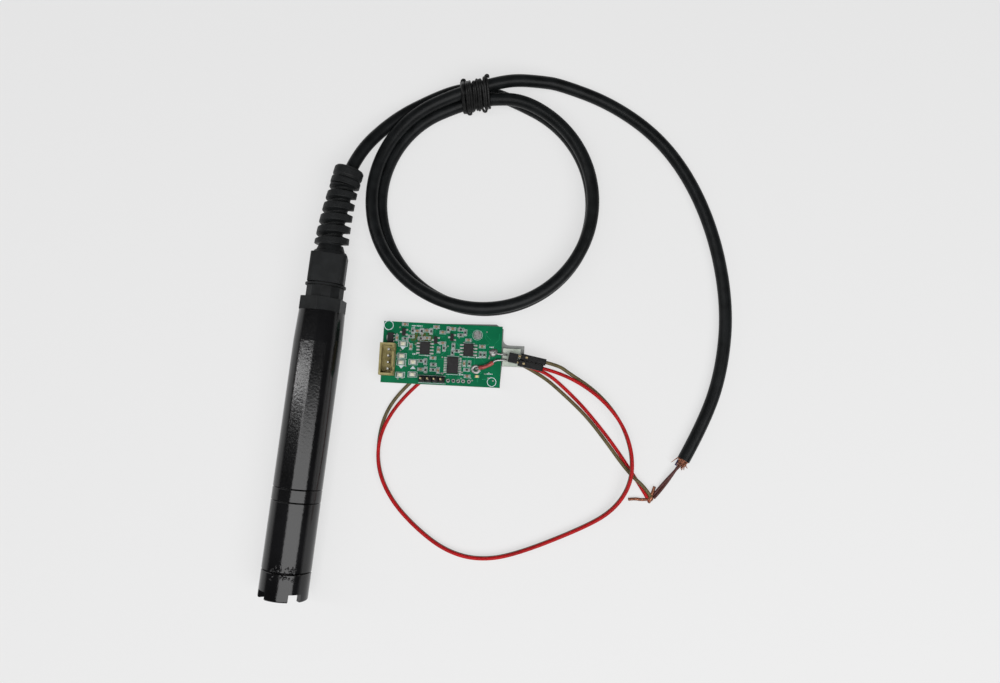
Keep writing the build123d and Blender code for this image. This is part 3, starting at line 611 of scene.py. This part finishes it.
def build_splice(bm):
    heart = at(134.7, 44.2, 1.3)
    for turn in range(7):
        way = Vector((math.cos(turn * 0.9), math.sin(turn * 0.9), 0.25 * math.sin(turn * 2.1)))
        ends = [heart - way * 1.1 * MM, heart + Vector((0, 0, 0.7)) * MM, heart + way * 1.1 * MM]
        sweep(bm, centreline(ends), 0.28 * MM, 7)
    sweep(bm, centreline([at(134.3, 42.6, 1.0), at(134.9, 44.0, 2.0), at(135.4, 45.8, 1.2)]), 0.62 * MM, 9)


def build_pigtails(bm):
    along_floor = [at(134.4, 43.9, 1.3), at(131.6, 43.2, 1.1), at(129.0, 43.4, 0.8), at(126.4, 42.8, 0.6)]
    twist(bm, along_floor, 7, 0.4, 0.22, 3.2)
    twist(bm, [at(134.9, 44.6, 1.3), at(135.3, 46.6, 1.5), at(136.0, 48.8, 1.0)], 7, 0.4, 0.22, 2.8)


splice = mesh_piece("splice_wires", build_splice, [looks["bare_copper"]])
keep(splice, "root", "bare_copper", "splice_joints")
pigtails = mesh_piece("pigtails", build_pigtails, [looks["bare_copper"]])
keep(pigtails, "root", "bare_copper", "bare_ends")

# ---------------------------------------------------------------- the two signal leads
PLUG_MIDDLE = (75.4, 91.95)
PLUG_TURN = math.radians(-6.6)
LEAD_R = 0.7


def plug_point(along, side, height):
    """A point on the lead header's own axes."""
    x = PLUG_MIDDLE[0] + along * math.cos(PLUG_TURN) - side * math.sin(PLUG_TURN)
    y = PLUG_MIDDLE[1] + along * math.sin(PLUG_TURN) + side * math.cos(PLUG_TURN)
    return at(x, y, height)


OLIVE_POINTS = [
    plug_point(11.4, 1.27, 6.1),
    plug_point(18.0, 1.3, 6.1),
    at(98.0, 88.6, 5.2),
    at(107.5, 83.9, 4.5),
    at(115.4, 77.6, 4.0),
    at(121.8, 69.5, 3.8),
    at(125.9, 59.0, 3.7),
    at(126.0, 48.5, 3.5),
    at(121.0, 38.5, 1.9),
    at(111.0, 30.6, 0.8),
    at(84.5, 16.6, 0.7),
    at(70.5, 13.2, 0.7),
    at(58.0, 15.3, 0.7),
    at(46.0, 22.3, 0.7),
    at(35.2, 31.5, 0.7),
    at(28.4, 42.4, 0.7),
    at(26.6, 54.5, 0.7),
    at(28.4, 66.6, 0.7),
    at(35.4, 77.4, 0.7),
    at(45.2, 87.0, 0.7),
    at(60.0, 91.9, 0.7),
    at(74.6, 92.0, 0.7),
    at(88.0, 86.6, 0.7),
    at(96.0, 81.2, 0.7),
    at(106.9, 72.9, 0.7),
    at(115.7, 63.7, 0.7),
    at(122.4, 56.2, 0.7),
    at(127.0, 51.6, 2.4),
    at(131.8, 48.4, 2.4),
    at(134.8, 44.9, 1.4),
]
RED_POINTS = [
    plug_point(10.8, -1.27, 6.1),
    plug_point(18.3, -1.27, 6.1),
    at(105.0, 84.2, 6.0),
    at(114.5, 77.8, 5.7),
    at(121.8, 69.5, 5.5),
    at(125.9, 59.0, 5.4),
    at(126.0, 48.5, 5.2),
    at(121.0, 38.5, 3.6),
    at(111.0, 30.6, 2.45),
    at(84.5, 16.6, 2.25),
    at(70.5, 13.2, 2.25),
    at(58.0, 15.3, 2.25),
    at(46.0, 22.3, 2.25),
    at(35.2, 31.5, 2.25),
    at(28.4, 42.4, 2.25),
    at(26.9, 54.3, 2.25),
    at(30.3, 65.4, 1.5),
    at(37.3, 75.7, 0.75),
    at(46.4, 85.0, 0.7),
    at(60.2, 90.1, 0.7),
    at(73.0, 91.3, 2.15),
    at(79.0, 90.3, 2.15),
    at(83.6, 89.2, 2.5),
    at(90.0, 87.6, 2.5),
    at(98.0, 82.2, 0.75),
    at(107.6, 74.3, 0.7),
    at(122.9, 58.4, 0.7),
    at(134.4, 43.2, 1.0),
]


def lead(name, points):
    """A lead as a mesh tube; it bends from its plug down to where it lies on the floor."""
    line = centreline(points)
    coat = looks[name.replace("signal", "lead")]
    piece = mesh_piece(name, lambda bm: sweep(bm, line, LEAD_R * MM, 12), [coat])
    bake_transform(piece)
    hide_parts(name.replace("signal", "lead"))


lead("signal_olive", OLIVE_POINTS)
lead("signal_red", RED_POINTS)

# ---------------------------------------------------------------- spiral strain relief on the cable
RELIEF_POINTS = [at(0, 124.9, 9.25), at(0, 141.67, 9.25), at(3.14, 158.45, 9.25)]
PITCH = 4.74
RIB_WIDE = 0.82
FIRST_RIB = 2.75
NECK = 2.4
END_CAP = 26.3
RELIEF_BORE_R = 2.9


def relief_radius(gone, turn):
    """Radius of the strain relief at a distance along it and an angle about it, in millimetres."""
    if gone < NECK:
        return 5.6 - 0.4 * gone
    if gone > END_CAP:
        tip = eased(gone, 32.9, 34.0)
        groove = 0.45 * math.exp(-(((gone - 29.6) / 0.45) ** 2))
        front = eased(gone, END_CAP, END_CAP + 0.5)
        return 4.3 + 1.5 * front - groove - 0.7 * tip
    place = (gone - FIRST_RIB) / PITCH + turn / (2 * math.pi)
    share = place - math.floor(place)
    reach = 6.75 - 0.045 * gone
    shoulder = eased(share, 0.0, 0.16) * (1 - eased(share, RIB_WIDE - 0.16, RIB_WIDE))
    return 3.7 + (reach - 3.7) * shoulder


def build_relief(bm):
    line = centreline(RELIEF_POINTS)
    run = lengths(line)
    total = run[-1]
    count = 330
    sides = 72
    path = []
    index = 0
    for step in range(count + 1):
        gone = total * step / count
        while index < len(run) - 2 and run[index + 1] < gone:
            index += 1
        share = (gone - run[index]) / (run[index + 1] - run[index])
        path.append(line[index].lerp(line[index + 1], share))
    rings = []
    for (point, way, side, other), step in zip(travelling(path), range(count + 1)):
        across = way.cross(Vector((0, 0, 1))).normalized()
        ring = []
        for part in range(sides):
            turn = 2 * math.pi * part / sides
            size = relief_radius(total * step / count / MM, turn) * MM
            out = across * math.cos(turn) + Vector((0, 0, 1)) * math.sin(turn)
            ring.append(bm.verts.new(point + out * size))
        rings.append(ring)
    bores = []
    for end in (0, count):
        point, way, side, other = travelling(path)[end]
        across = way.cross(Vector((0, 0, 1))).normalized()
        bore = []
        for part in range(sides):
            turn = 2 * math.pi * part / sides
            out = across * math.cos(turn) + Vector((0, 0, 1)) * math.sin(turn)
            bore.append(bm.verts.new(point + out * RELIEF_BORE_R * MM))
        bores.append(bore)
    whole = [bores[0], *rings, bores[1]]
    for low, high in zip(whole, whole[1:]):
        for part in range(sides):
            after = (part + 1) % sides
            bm.faces.new((low[part], low[after], high[after], high[part]))


relief = mesh_piece("strain_relief_spiral", build_relief, [looks["gland_nylon"]])
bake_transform(relief)
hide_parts("strain_relief")

# ---------------------------------------------------------------- sealant in the groove behind the guard
PROBE_R = 9.25


def build_sealant(low, high, count):
    """Small uneven blobs pressed into the groove and smeared round it."""

    def build(bm):
        for index in range(count):
            turn = math.radians(dice.uniform(-24, 34))
            y = dice.uniform(low, high)
            spot = Vector((PROBE_R * math.sin(turn) * MM, y * MM, PROBE_R * math.cos(turn) * MM))
            lean = Matrix.Rotation(turn, 4, "Y") @ Matrix.Rotation(dice.uniform(0, 3), 4, "Z")
            stretch = Matrix.Diagonal((dice.uniform(0.8, 1.9), dice.uniform(0.5, 1.0), 1, 1))
            place = Matrix.Translation(spot * 0.998) @ lean @ stretch
            dome(bm, place, dice.uniform(0.3, 0.62), dice.uniform(0.26, 0.45), wave=0.5)

    return build


sealant = mesh_piece("sealant_sleeve", build_sealant(3.3, 5.4, 22), [looks["probe_black"]])
keep(sealant, "root", "probe_black")
sealant_cap = mesh_piece("sealant_cap", build_sealant(0.4, 2.0, 12), [looks["probe_black"]])
keep(sealant_cap, "guard_cap", "probe_black")

# ---------------------------------------------------------------- board: copper, print and small parts
CAPACITORS = (
    (8.3, 0.9, 0), (13.2, 3.3, 0), (16.9, 3.0, 0), (20.6, 1.4, 0), (23.2, 3.4, 0), (27.0, 1.8, 0),
    (17.2, 5.9, 0), (5.4, 6.4, 90), (11.0, 9.6, 90), (21.9, 10.3, 90), (23.4, 7.6, 0), (19.9, 13.6, 0),
    (33.4, 6.0, 0), (38.9, 8.2, 0), (32.2, 15.2, 90), (22.1, 18.4, 90), (15.3, 18.3, 0), (33.6, 20.1, 0),
)
RESISTORS = (
    (10.9, 5.6, 0), (11.5, 3.3, 90), (14.9, 3.3, 90), (18.6, 3.2, 90), (25.3, 2.3, 90), (30.2, 2.0, 0),
    (30.2, 4.2, 0), (32.0, 3.1, 90), (8.6, 6.6, 0), (14.8, 6.2, 0), (24.0, 9.6, 90), (27.6, 8.6, 90),
    (29.0, 10.4, 0), (27.4, 11.2, 90), (38.4, 11.4, 90), (39.9, 11.4, 90), (34.2, 15.2, 90), (33.3, 17.6, 0),
    (15.3, 15.0, 0), (17.0, 15.2, 90), (17.3, 18.4, 90), (20.2, 16.2, 0), (20.2, 18.2, 0),
)
LAMPS = ((7.9, 8.6), (7.7, 13.4), (7.6, 16.0), (7.5, 20.8), (12.3, 15.6), (12.3, 20.4))
AMPLIFIERS = ((16.6, 10.0), (33.6, 9.85))
TRANSISTORS = ((8.0, 4.0), (20.6, 6.6), (26.9, 5.2))
CONTROLLER = (27.7, 16.1)
REGULATOR = (2.9, 6.4)
HEADER = (20.0, 22.0)


def build_capacitors(bm):
    for u, v, turn in CAPACITORS:
        place = board_frame(u, v, turn)
        block(bm, place, 1.0, 0.72, TOP + 0.02, TOP + 0.74, 0.05, 0)
        for side in (-1, 1):
            end = place @ Matrix.Translation((side * 0.62 * MM, 0, 0))
            block(bm, end, 0.36, 0.8, TOP, TOP + 0.8, 0.08, 1)
            foot = place @ Matrix.Translation((side * 0.78 * MM, 0, 0))
            block(bm, foot, 0.5, 0.95, TOP, TOP + 0.16, 0.06, 1)


def build_resistors(bm):
    for u, v, turn in RESISTORS:
        place = board_frame(u, v, turn)
        block(bm, place, 1.4, 0.72, TOP + 0.02, TOP + 0.34, 0.03, 2)
        block(bm, place, 0.92, 0.66, TOP + 0.34, TOP + 0.45, 0.04, 0)
        for side in (-1, 1):
            end = place @ Matrix.Translation((side * 0.62 * MM, 0, 0))
            block(bm, end, 0.3, 0.76, TOP, TOP + 0.46, 0.06, 1)
            foot = place @ Matrix.Translation((side * 0.78 * MM, 0, 0))
            block(bm, foot, 0.45, 0.95, TOP, TOP + 0.14, 0.05, 1)


def build_lamps(bm):
    for u, v in LAMPS:
        place = board_frame(u, v)
        block(bm, place, 2.0, 1.5, TOP + 0.05, TOP + 0.55, 0.06, 1)
        block(bm, place, 1.5, 1.3, TOP + 0.5, TOP + 1.0, 0.22, 0, taper=0.1)
        for side in (-1, 1):
            block(bm, place @ Matrix.Translation((side * 1.1 * MM, 0, 0)), 0.42, 1.6, TOP, TOP + 0.6, 0.1, 2)
    place = board_frame(37.4, 20.0)
    block(bm, place, 1.1, 0.95, TOP + 0.05, TOP + 0.8, 0.12, 3)
    for side in (-1, 1):
        block(bm, place @ Matrix.Translation((side * 0.7 * MM, 0, 0)), 0.3, 1.0, TOP, TOP + 0.4, 0.06, 2)


def gull(bm, place, side, body, reach, wide, high, thick, index):
    """One bent lead: out of the body, down and along the board."""
    edge = side * body / 2
    knee = side * (body / 2 + reach * 0.3)
    toe = side * (body / 2 + reach * 0.5)
    tip = side * (body / 2 + reach)
    line = ((edge, high), (knee, high), (toe, thick * 0.6), (tip, thick * 0.5))
    rows = []
    for x, z in line:
        for across in (-wide / 2, wide / 2):
            for lift in (-thick / 2, thick / 2):
                rows.append(bm.verts.new(place @ (Vector((x, across, TOP + z + lift)) * MM)))
    for start in range(0, 12, 4):
        a, b, c, d, e, f, g, h = rows[start : start + 8]
        for corners in ((a, c, g, e), (b, f, h, d), (a, e, f, b), (c, d, h, g)):
            bm.faces.new(corners).material_index = index
    bm.faces.new(rows[:2] + rows[3:1:-1]).material_index = index
    bm.faces.new(rows[12:14] + rows[15:13:-1]).material_index = index


def package(bm, u, v, body, long, low, high):
    """A moulded chip body: two drafted halves and the round mark of its first pin."""
    place = board_frame(u, v)
    middle = (low + high) / 2
    block(bm, place, body, long, TOP + middle, TOP + high, 0.05, 0, taper=0.14)
    under = place @ Matrix.Rotation(math.pi, 4, "X")
    block(bm, under, body, long, -(TOP + middle), -(TOP + low), 0.0, 0, taper=0.1)
    inset = 0.65
    corner = Vector((-body / 2 + inset, long / 2 - inset, TOP + high - 0.02))
    mark = place @ Matrix.Translation(corner * MM)
    dome(bm, mark, 0.26, 0.04, 1, 3, 14)


def build_amplifiers(bm):
    for u, v in AMPLIFIERS:
        package(bm, u, v, 3.9, 4.9, 0.15, 1.6)


def build_amplifier_leads(bm):
    for u, v in AMPLIFIERS:
        for row in range(4):
            for side in (-1, 1):
                place = board_frame(u, v + (row - 1.5) * 1.27)
                gull(bm, place, side, 3.7, 1.15, 0.42, 0.8, 0.2, 0)
                foot = place @ Matrix.Translation((side * 2.75 * MM, 0, 0))
                block(bm, foot, 1.3, 0.62, TOP, TOP + 0.09, 0.03, 1)


def build_controller(bm):
    package(bm, *CONTROLLER, 4.4, 6.5, 0.1, 1.1)


def build_controller_leads(bm):
    for row in range(10):
        for side in (-1, 1):
            place = board_frame(CONTROLLER[0], CONTROLLER[1] + (row - 4.5) * 0.65)
            gull(bm, place, side, 4.2, 1.05, 0.26, 0.55, 0.15, 0)
            foot = place @ Matrix.Translation((side * 2.95 * MM, 0, 0))
            block(bm, foot, 1.0, 0.36, TOP, TOP + 0.07, 0.02, 1)


def build_transistors(bm):
    for u, v in TRANSISTORS:
        block(bm, board_frame(u, v), 1.4, 2.9, TOP + 0.1, TOP + 1.1, 0.07, 0, taper=0.08)


def build_transistor_leads(bm):
    for u, v in TRANSISTORS:
        for side, shift in ((-1, 0.0), (1, -0.95), (1, 0.95)):
            place = board_frame(u, v + shift)
            gull(bm, place, side, 1.3, 0.7, 0.42, 0.55, 0.14, 0)
            block(bm, place @ Matrix.Translation((side * 1.2 * MM, 0, 0)), 0.7, 0.7, TOP, TOP + 0.08, 0.03, 1)


def build_regulator(bm):
    u, v = REGULATOR
    block(bm, board_frame(u, v), 2.4, 3.8, TOP + 0.02, TOP + 1.5, 0.1, 0, taper=0.1)
    for shift in (-1.3, 0.0, 1.3):
        block(bm, board_frame(u + 1.35, v + shift), 0.5, 0.5, TOP, TOP + 0.4, 0.06, 1)
    block(bm, board_frame(u - 1.3, v), 0.4, 1.7, TOP, TOP + 0.35, 0.06, 1)


def build_header(bm):
    for index in range(4):
        u = HEADER[0] + (index - 1.5) * 2.54
        block(bm, board_frame(u, HEADER[1]), 2.44, 2.48, TOP, TOP + 2.5, 0.42, 0)


def build_header_pins(bm):
    for index in range(4):
        u = HEADER[0] + (index - 1.5) * 2.54
        block(bm, board_frame(u, HEADER[1]), 0.64, 0.64, TOP - 1.5, TOP + 8.3, 0.1, 0)
        foot = board_frame(u, HEADER[1]) @ Matrix.Translation((0, 0, (TOP - 0.02) * MM))
        dome(bm, foot, 0.8, 0.2, 1, 4, 16)


def build_pads(bm):
    for u in (26.2, 28.3, 30.2, 32.1, 34.4):
        place = board_frame(u, 22.1) @ Matrix.Translation((0, 0, TOP * MM))
        dome(bm, place, 0.78, 0.14, 0, 5, 20, hole=0.34)
        # the near-black disc in the pad's open hole is painted shade
        dome(bm, place, 0.36, 0.03, 1, 3, 14)
    coin = board_frame(36.8, 3.8) @ Matrix.Translation((0, 0, TOP * MM))
    for outer, inner in ((1.65, 1.12), (1.15, 0.66), (0.7, 0.22)):
        dome(bm, coin, outer, 0.2, 0, 6, 28, hole=inner, wave=0.05)
    dome(bm, coin, 0.35, 0.22, 0, 4, 14)
    hole = board_frame(36.8, 17.2) @ Matrix.Translation((0, 0, TOP * MM))
    dome(bm, hole, 1.85, 0.3, 0, 6, 28, hole=0.72, wave=0.1)
    # the near-black disc in the big hole is painted shade
    dome(bm, hole, 0.8, 0.02, 1, 3, 16)
    blob = board_frame(43.3, 10.4) @ Matrix.Translation((0, 0, TOP * MM))
    dome(bm, blob, 1.7, 0.75, 0, 8, 28, wave=0.22)
    dome(bm, board_frame(44.3, 13.4) @ Matrix.Translation((0, 0, TOP * MM)), 0.6, 0.4, 0, 6, 18, wave=0.3)


def flat(bm, u, v, long, wide, turn=0, index=0, thick=0.03):
    block(bm, board_frame(u, v, turn), long, wide, TOP - 0.01, TOP + thick, 0.0, index)


def printed_ring(bm, u, v, radius, wide):
    place = board_frame(u, v) @ Matrix.Translation((0, 0, TOP * MM))
    dome(bm, place, radius + wide / 2, 0.03, 0, 3, 48, hole=radius - wide / 2)


def triangle(bm, u, v, down):
    tips = [(-1.1, 0.0), (1.1, 0.0), (0.0, -1.25 if down else 1.25)]
    place = board_frame(u, v)
    rows = [[bm.verts.new(place @ (Vector((x, y, TOP + z)) * MM)) for x, y in tips] for z in (0, 0.03)]
    bm.faces.new(rows[1])
    bm.faces.new(rows[0][::-1])
    for one in range(3):
        after = (one + 1) % 3
        bm.faces.new((rows[0][one], rows[0][after], rows[1][after], rows[1][one]))


PRINTED_MARKS = (
    (11.2, 1.3, 7), (12.0, 12.4, 3), (36.9, 12.6, 3), (41.4, 18.8, 4), (30.6, 19.6, 3), (41.9, 8.3, 3),
)


def build_print(bm):
    """Printed white marks: fixing rings, polarity triangles, corner brackets round the parts."""
    printed_ring(bm, 1.9, 1.6, 1.75, 0.28)
    printed_ring(bm, 43.2, 21.9, 1.7, 0.26)
    printed_ring(bm, 36.8, 3.8, 1.95, 0.12)
    for u, v, down in ((7.9, 9.7, True), (7.7, 17.1, True), (12.3, 18.3, False)):
        triangle(bm, u, v, down)
    for u, v in LAMPS:
        for side in (-1, 1):
            flat(bm, u + side * 1.75, v, 0.16, 2.1)
        flat(bm, u, v + 1.05, 3.4, 0.14)
        flat(bm, u, v - 1.05, 3.4, 0.14)
    for u, v, turn in CAPACITORS + RESISTORS:
        for side in (-1, 1):
            mark = board_frame(u, v, turn) @ Matrix.Translation((side * 1.22 * MM, 0, 0))
            block(bm, mark, 0.11, 1.25, TOP - 0.01, TOP + 0.03, 0.0, 0)
            rail = board_frame(u, v, turn) @ Matrix.Translation((0, side * 0.62 * MM, 0))
            block(bm, rail, 2.4, 0.1, TOP - 0.01, TOP + 0.03, 0.0, 0)
    for u, v in AMPLIFIERS:
        for side in (-1, 1):
            flat(bm, u, v + side * 2.75, 4.6, 0.14)
    for side in (-1, 1):
        flat(bm, CONTROLLER[0], CONTROLLER[1] + side * 3.6, 4.8, 0.14)
        flat(bm, HEADER[0], HEADER[1] + side * 1.5, 10.8, 0.14)
    for u, v, count in PRINTED_MARKS:
        for index in range(count):
            flat(bm, u + index * 0.62, v, 0.34, dice.choice((0.5, 0.62, 0.3)), dice.choice((0, 90)))


def build_traces(bm):
    """Copper tracks under the mask in 45 degree runs, and plated holes whose near-black centres are painted
    shade.
    """
    for index in range(92):
        u = dice.uniform(4, 44)
        v = dice.uniform(1.2, 22.8)
        wide = dice.choice((0.22, 0.22, 0.3, 0.5))
        heading = dice.choice((0, 90, 180, 270))
        for run in range(dice.choice((2, 3, 3))):
            long = dice.uniform(0.8, 3.6)
            du = math.cos(math.radians(heading)) * long
            dv = math.sin(math.radians(heading)) * long
            if not (1 < u + du < 45.5 and 0.8 < v + dv < 23.2):
                break
            flat(bm, u + du / 2, v + dv / 2, long + wide, wide, -heading, 0, 0.018)
            u += du
            v += dv
            heading += dice.choice((-45, 45))
    for index in range(64):
        u = dice.uniform(4.5, 45)
        v = dice.uniform(1.0, 23.0)
        place = board_frame(u, v) @ Matrix.Translation((0, 0, (TOP + 0.012) * MM))
        dome(bm, place, 0.3, 0.02, 1, 2, 14, hole=0.14)
        # the near-black centre of each via is painted shade
        dome(bm, place, 0.15, 0.004, 2, 2, 10)


def piece(name, build, slot, *replaced, extra=(), smooth=False):
    """A piece of the board: its first finish names its slot, and further ones follow."""
    materials = [looks[slot], *[looks[one] for one in extra]]
    return keep(mesh_piece(name, build, materials, smooth), "root", slot, *replaced)


LAMP_EXTRAS = ("ceramic_white", "solder", "lamp_yellow")
piece("capacitor_set", build_capacitors, "capacitor_tan", "ceramic_capacitors", extra=("solder",))
piece("resistor_set", build_resistors, "resistor_dark", "resistors", extra=("solder", "ceramic_white"))
piece("lamp_set", build_lamps, "lamp_pale", "indicator_leds", extra=LAMP_EXTRAS)
piece("amplifier_packages", build_amplifiers, "chip_black", "amplifier_bodies", extra=("resistor_dark",))
piece("amplifier_legs", build_amplifier_leads, "wire_tinned", "amplifier_leads", extra=("solder",))
piece("controller_package", build_controller, "chip_black", "microcontroller_body", extra=("resistor_dark",))
piece("controller_legs", build_controller_leads, "wire_tinned", "microcontroller_leads", extra=("solder",))
piece("transistor_packages", build_transistors, "chip_black", "transistor_bodies")
piece("transistor_legs", build_transistor_leads, "wire_tinned", "transistor_leads", extra=("solder",))
piece("regulator_package", build_regulator, "chip_black", "regulator", extra=("solder",))
piece("header_block", build_header, "housing_black", "header_housing")
piece("header_pin_set", build_header_pins, "pin_gold", "header_pins", extra=("solder",))
piece("pad_set", build_pads, "solder", "solder_pads", extra=("hole_painted_shade",), smooth=True)
board_print = piece("board_print", build_print, "board_green")
board_print.data.materials[0] = looks["silk"]
board_tracks = piece("board_tracks", build_traces, "board_green", extra=("solder", "hole_painted_shade"))
board_tracks.data.materials[0] = looks["trace"]


def bent_wire(name, points, radius, slot, replaced):
    line = centreline([board_point(u, v, height) for u, v, height in points])
    return piece(name, lambda bm: sweep(bm, line, radius, 14), slot, replaced, smooth=True)


LINK = [(43.6, 10.6, 5.7), (45.2, 10.9, 6.3), (47.0, 11.0, 6.0), (48.6, 11.0, 5.2)]
SLEEVE = [(37.9, 16.6, 6.1), (39.6, 16.5, 6.5), (41.4, 15.7, 6.4), (43.4, 14.3, 6.1)]
SLEEVED = [
    (36.9, 17.1, 5.4),
    (37.6, 16.8, 6.1),
    (43.0, 14.4, 6.1),
    (44.6, 13.3, 6.1),
    (46.4, 13.2, 6.0),
    (48.6, 13.0, 5.2),
]


def sleeve_radius(share):
    """The shrunk sleeve's radius, a little uneven along it."""
    return (0.72 + 0.1 * math.sin(9 * share)) * MM


bent_wire("link_bare", LINK, 0.38 * MM, "wire_tinned", "link_wire")
bent_wire("sleeve", SLEEVE, sleeve_radius, "sleeve_red", "link_sleeve")
bent_wire("sleeve_core", SLEEVED, 0.4 * MM, "wire_tinned", "sleeved_wire")

# ---------------------------------------------------------------- floor, light and camera
bpy.ops.mesh.primitive_plane_add(size=6, location=(0.07, 0.08, FLOOR))
floor = bpy.context.object
floor.name = "floor"
paper = finish("floor_paper", (0.25, 0.25, 0.25), 0.9, 0.004, 400, rough_spread=0.02, shine=0.0)
paper_shader = paper.node_tree.nodes["Principled BSDF"]
paper_shader.inputs["Emission Color"].default_value = (1, 1, 1, 1)
paper_shader.inputs["Emission Strength"].default_value = 0.6
floor.data.materials.append(paper)


def softbox(name, place, aim, wide, long, radiance):
    """An area light of a given radiance, aimed at a point, hidden from the camera."""
    data = bpy.data.lights.new(name, "AREA")
    data.shape = "RECTANGLE"
    data.size = wide
    data.size_y = long
    data.energy = radiance * math.pi * wide * long
    light = show(name, data)
    light.location = place
    light.rotation_mode = "QUATERNION"
    light.rotation_quaternion = (Vector(aim) - Vector(place)).to_track_quat("-Z", "Y")
    light.visible_camera = False


softbox("softbox_top", (0.465, -0.45, 0.9), (0.465, -0.45, 0), 1.37, 1.0, 3.3)
softbox("strip_left", (-0.64, 0.1, 0.77), (0, 0.1, 0), 0.045, 1.4, 12.0)

world = bpy.data.worlds.new("studio")
bpy.context.scene.world = world
world.use_nodes = True
sky = world.node_tree
direction = sky.nodes.new("ShaderNodeTexCoord")
split = sky.nodes.new("ShaderNodeSeparateXYZ")
sky.links.new(direction.outputs["Generated"], split.inputs["Vector"])
level = sky.nodes.new("ShaderNodeValToRGB")
level.color_ramp.elements[0].position = 0.0
level.color_ramp.elements[0].color = (0.75, 0.75, 0.75, 1)
level.color_ramp.elements[1].position = 0.22
level.color_ramp.elements[1].color = (0.07, 0.07, 0.072, 1)
sky.links.new(split.outputs["Z"], level.inputs["Fac"])
sky.links.new(level.outputs["Color"], sky.nodes["Background"].inputs["Color"])

bpy.context.scene.view_settings.view_transform = "Standard"

camera_data = bpy.data.cameras.new("camera")
camera_data.lens = 28.8
camera_data.sensor_width = 36
camera = show("camera", camera_data)
forward = Vector((-0.0111, 0.0952, -0.9954)).normalized()
right = Vector((0.9933, 0.1153, 0)).normalized()
up = right.cross(forward)
aim = Matrix((right, up, -forward)).transposed().to_4x4()
camera.matrix_world = Matrix.Translation((0.07316, 0.06813, 0.30729)) @ aim
bpy.context.scene.camera = camera
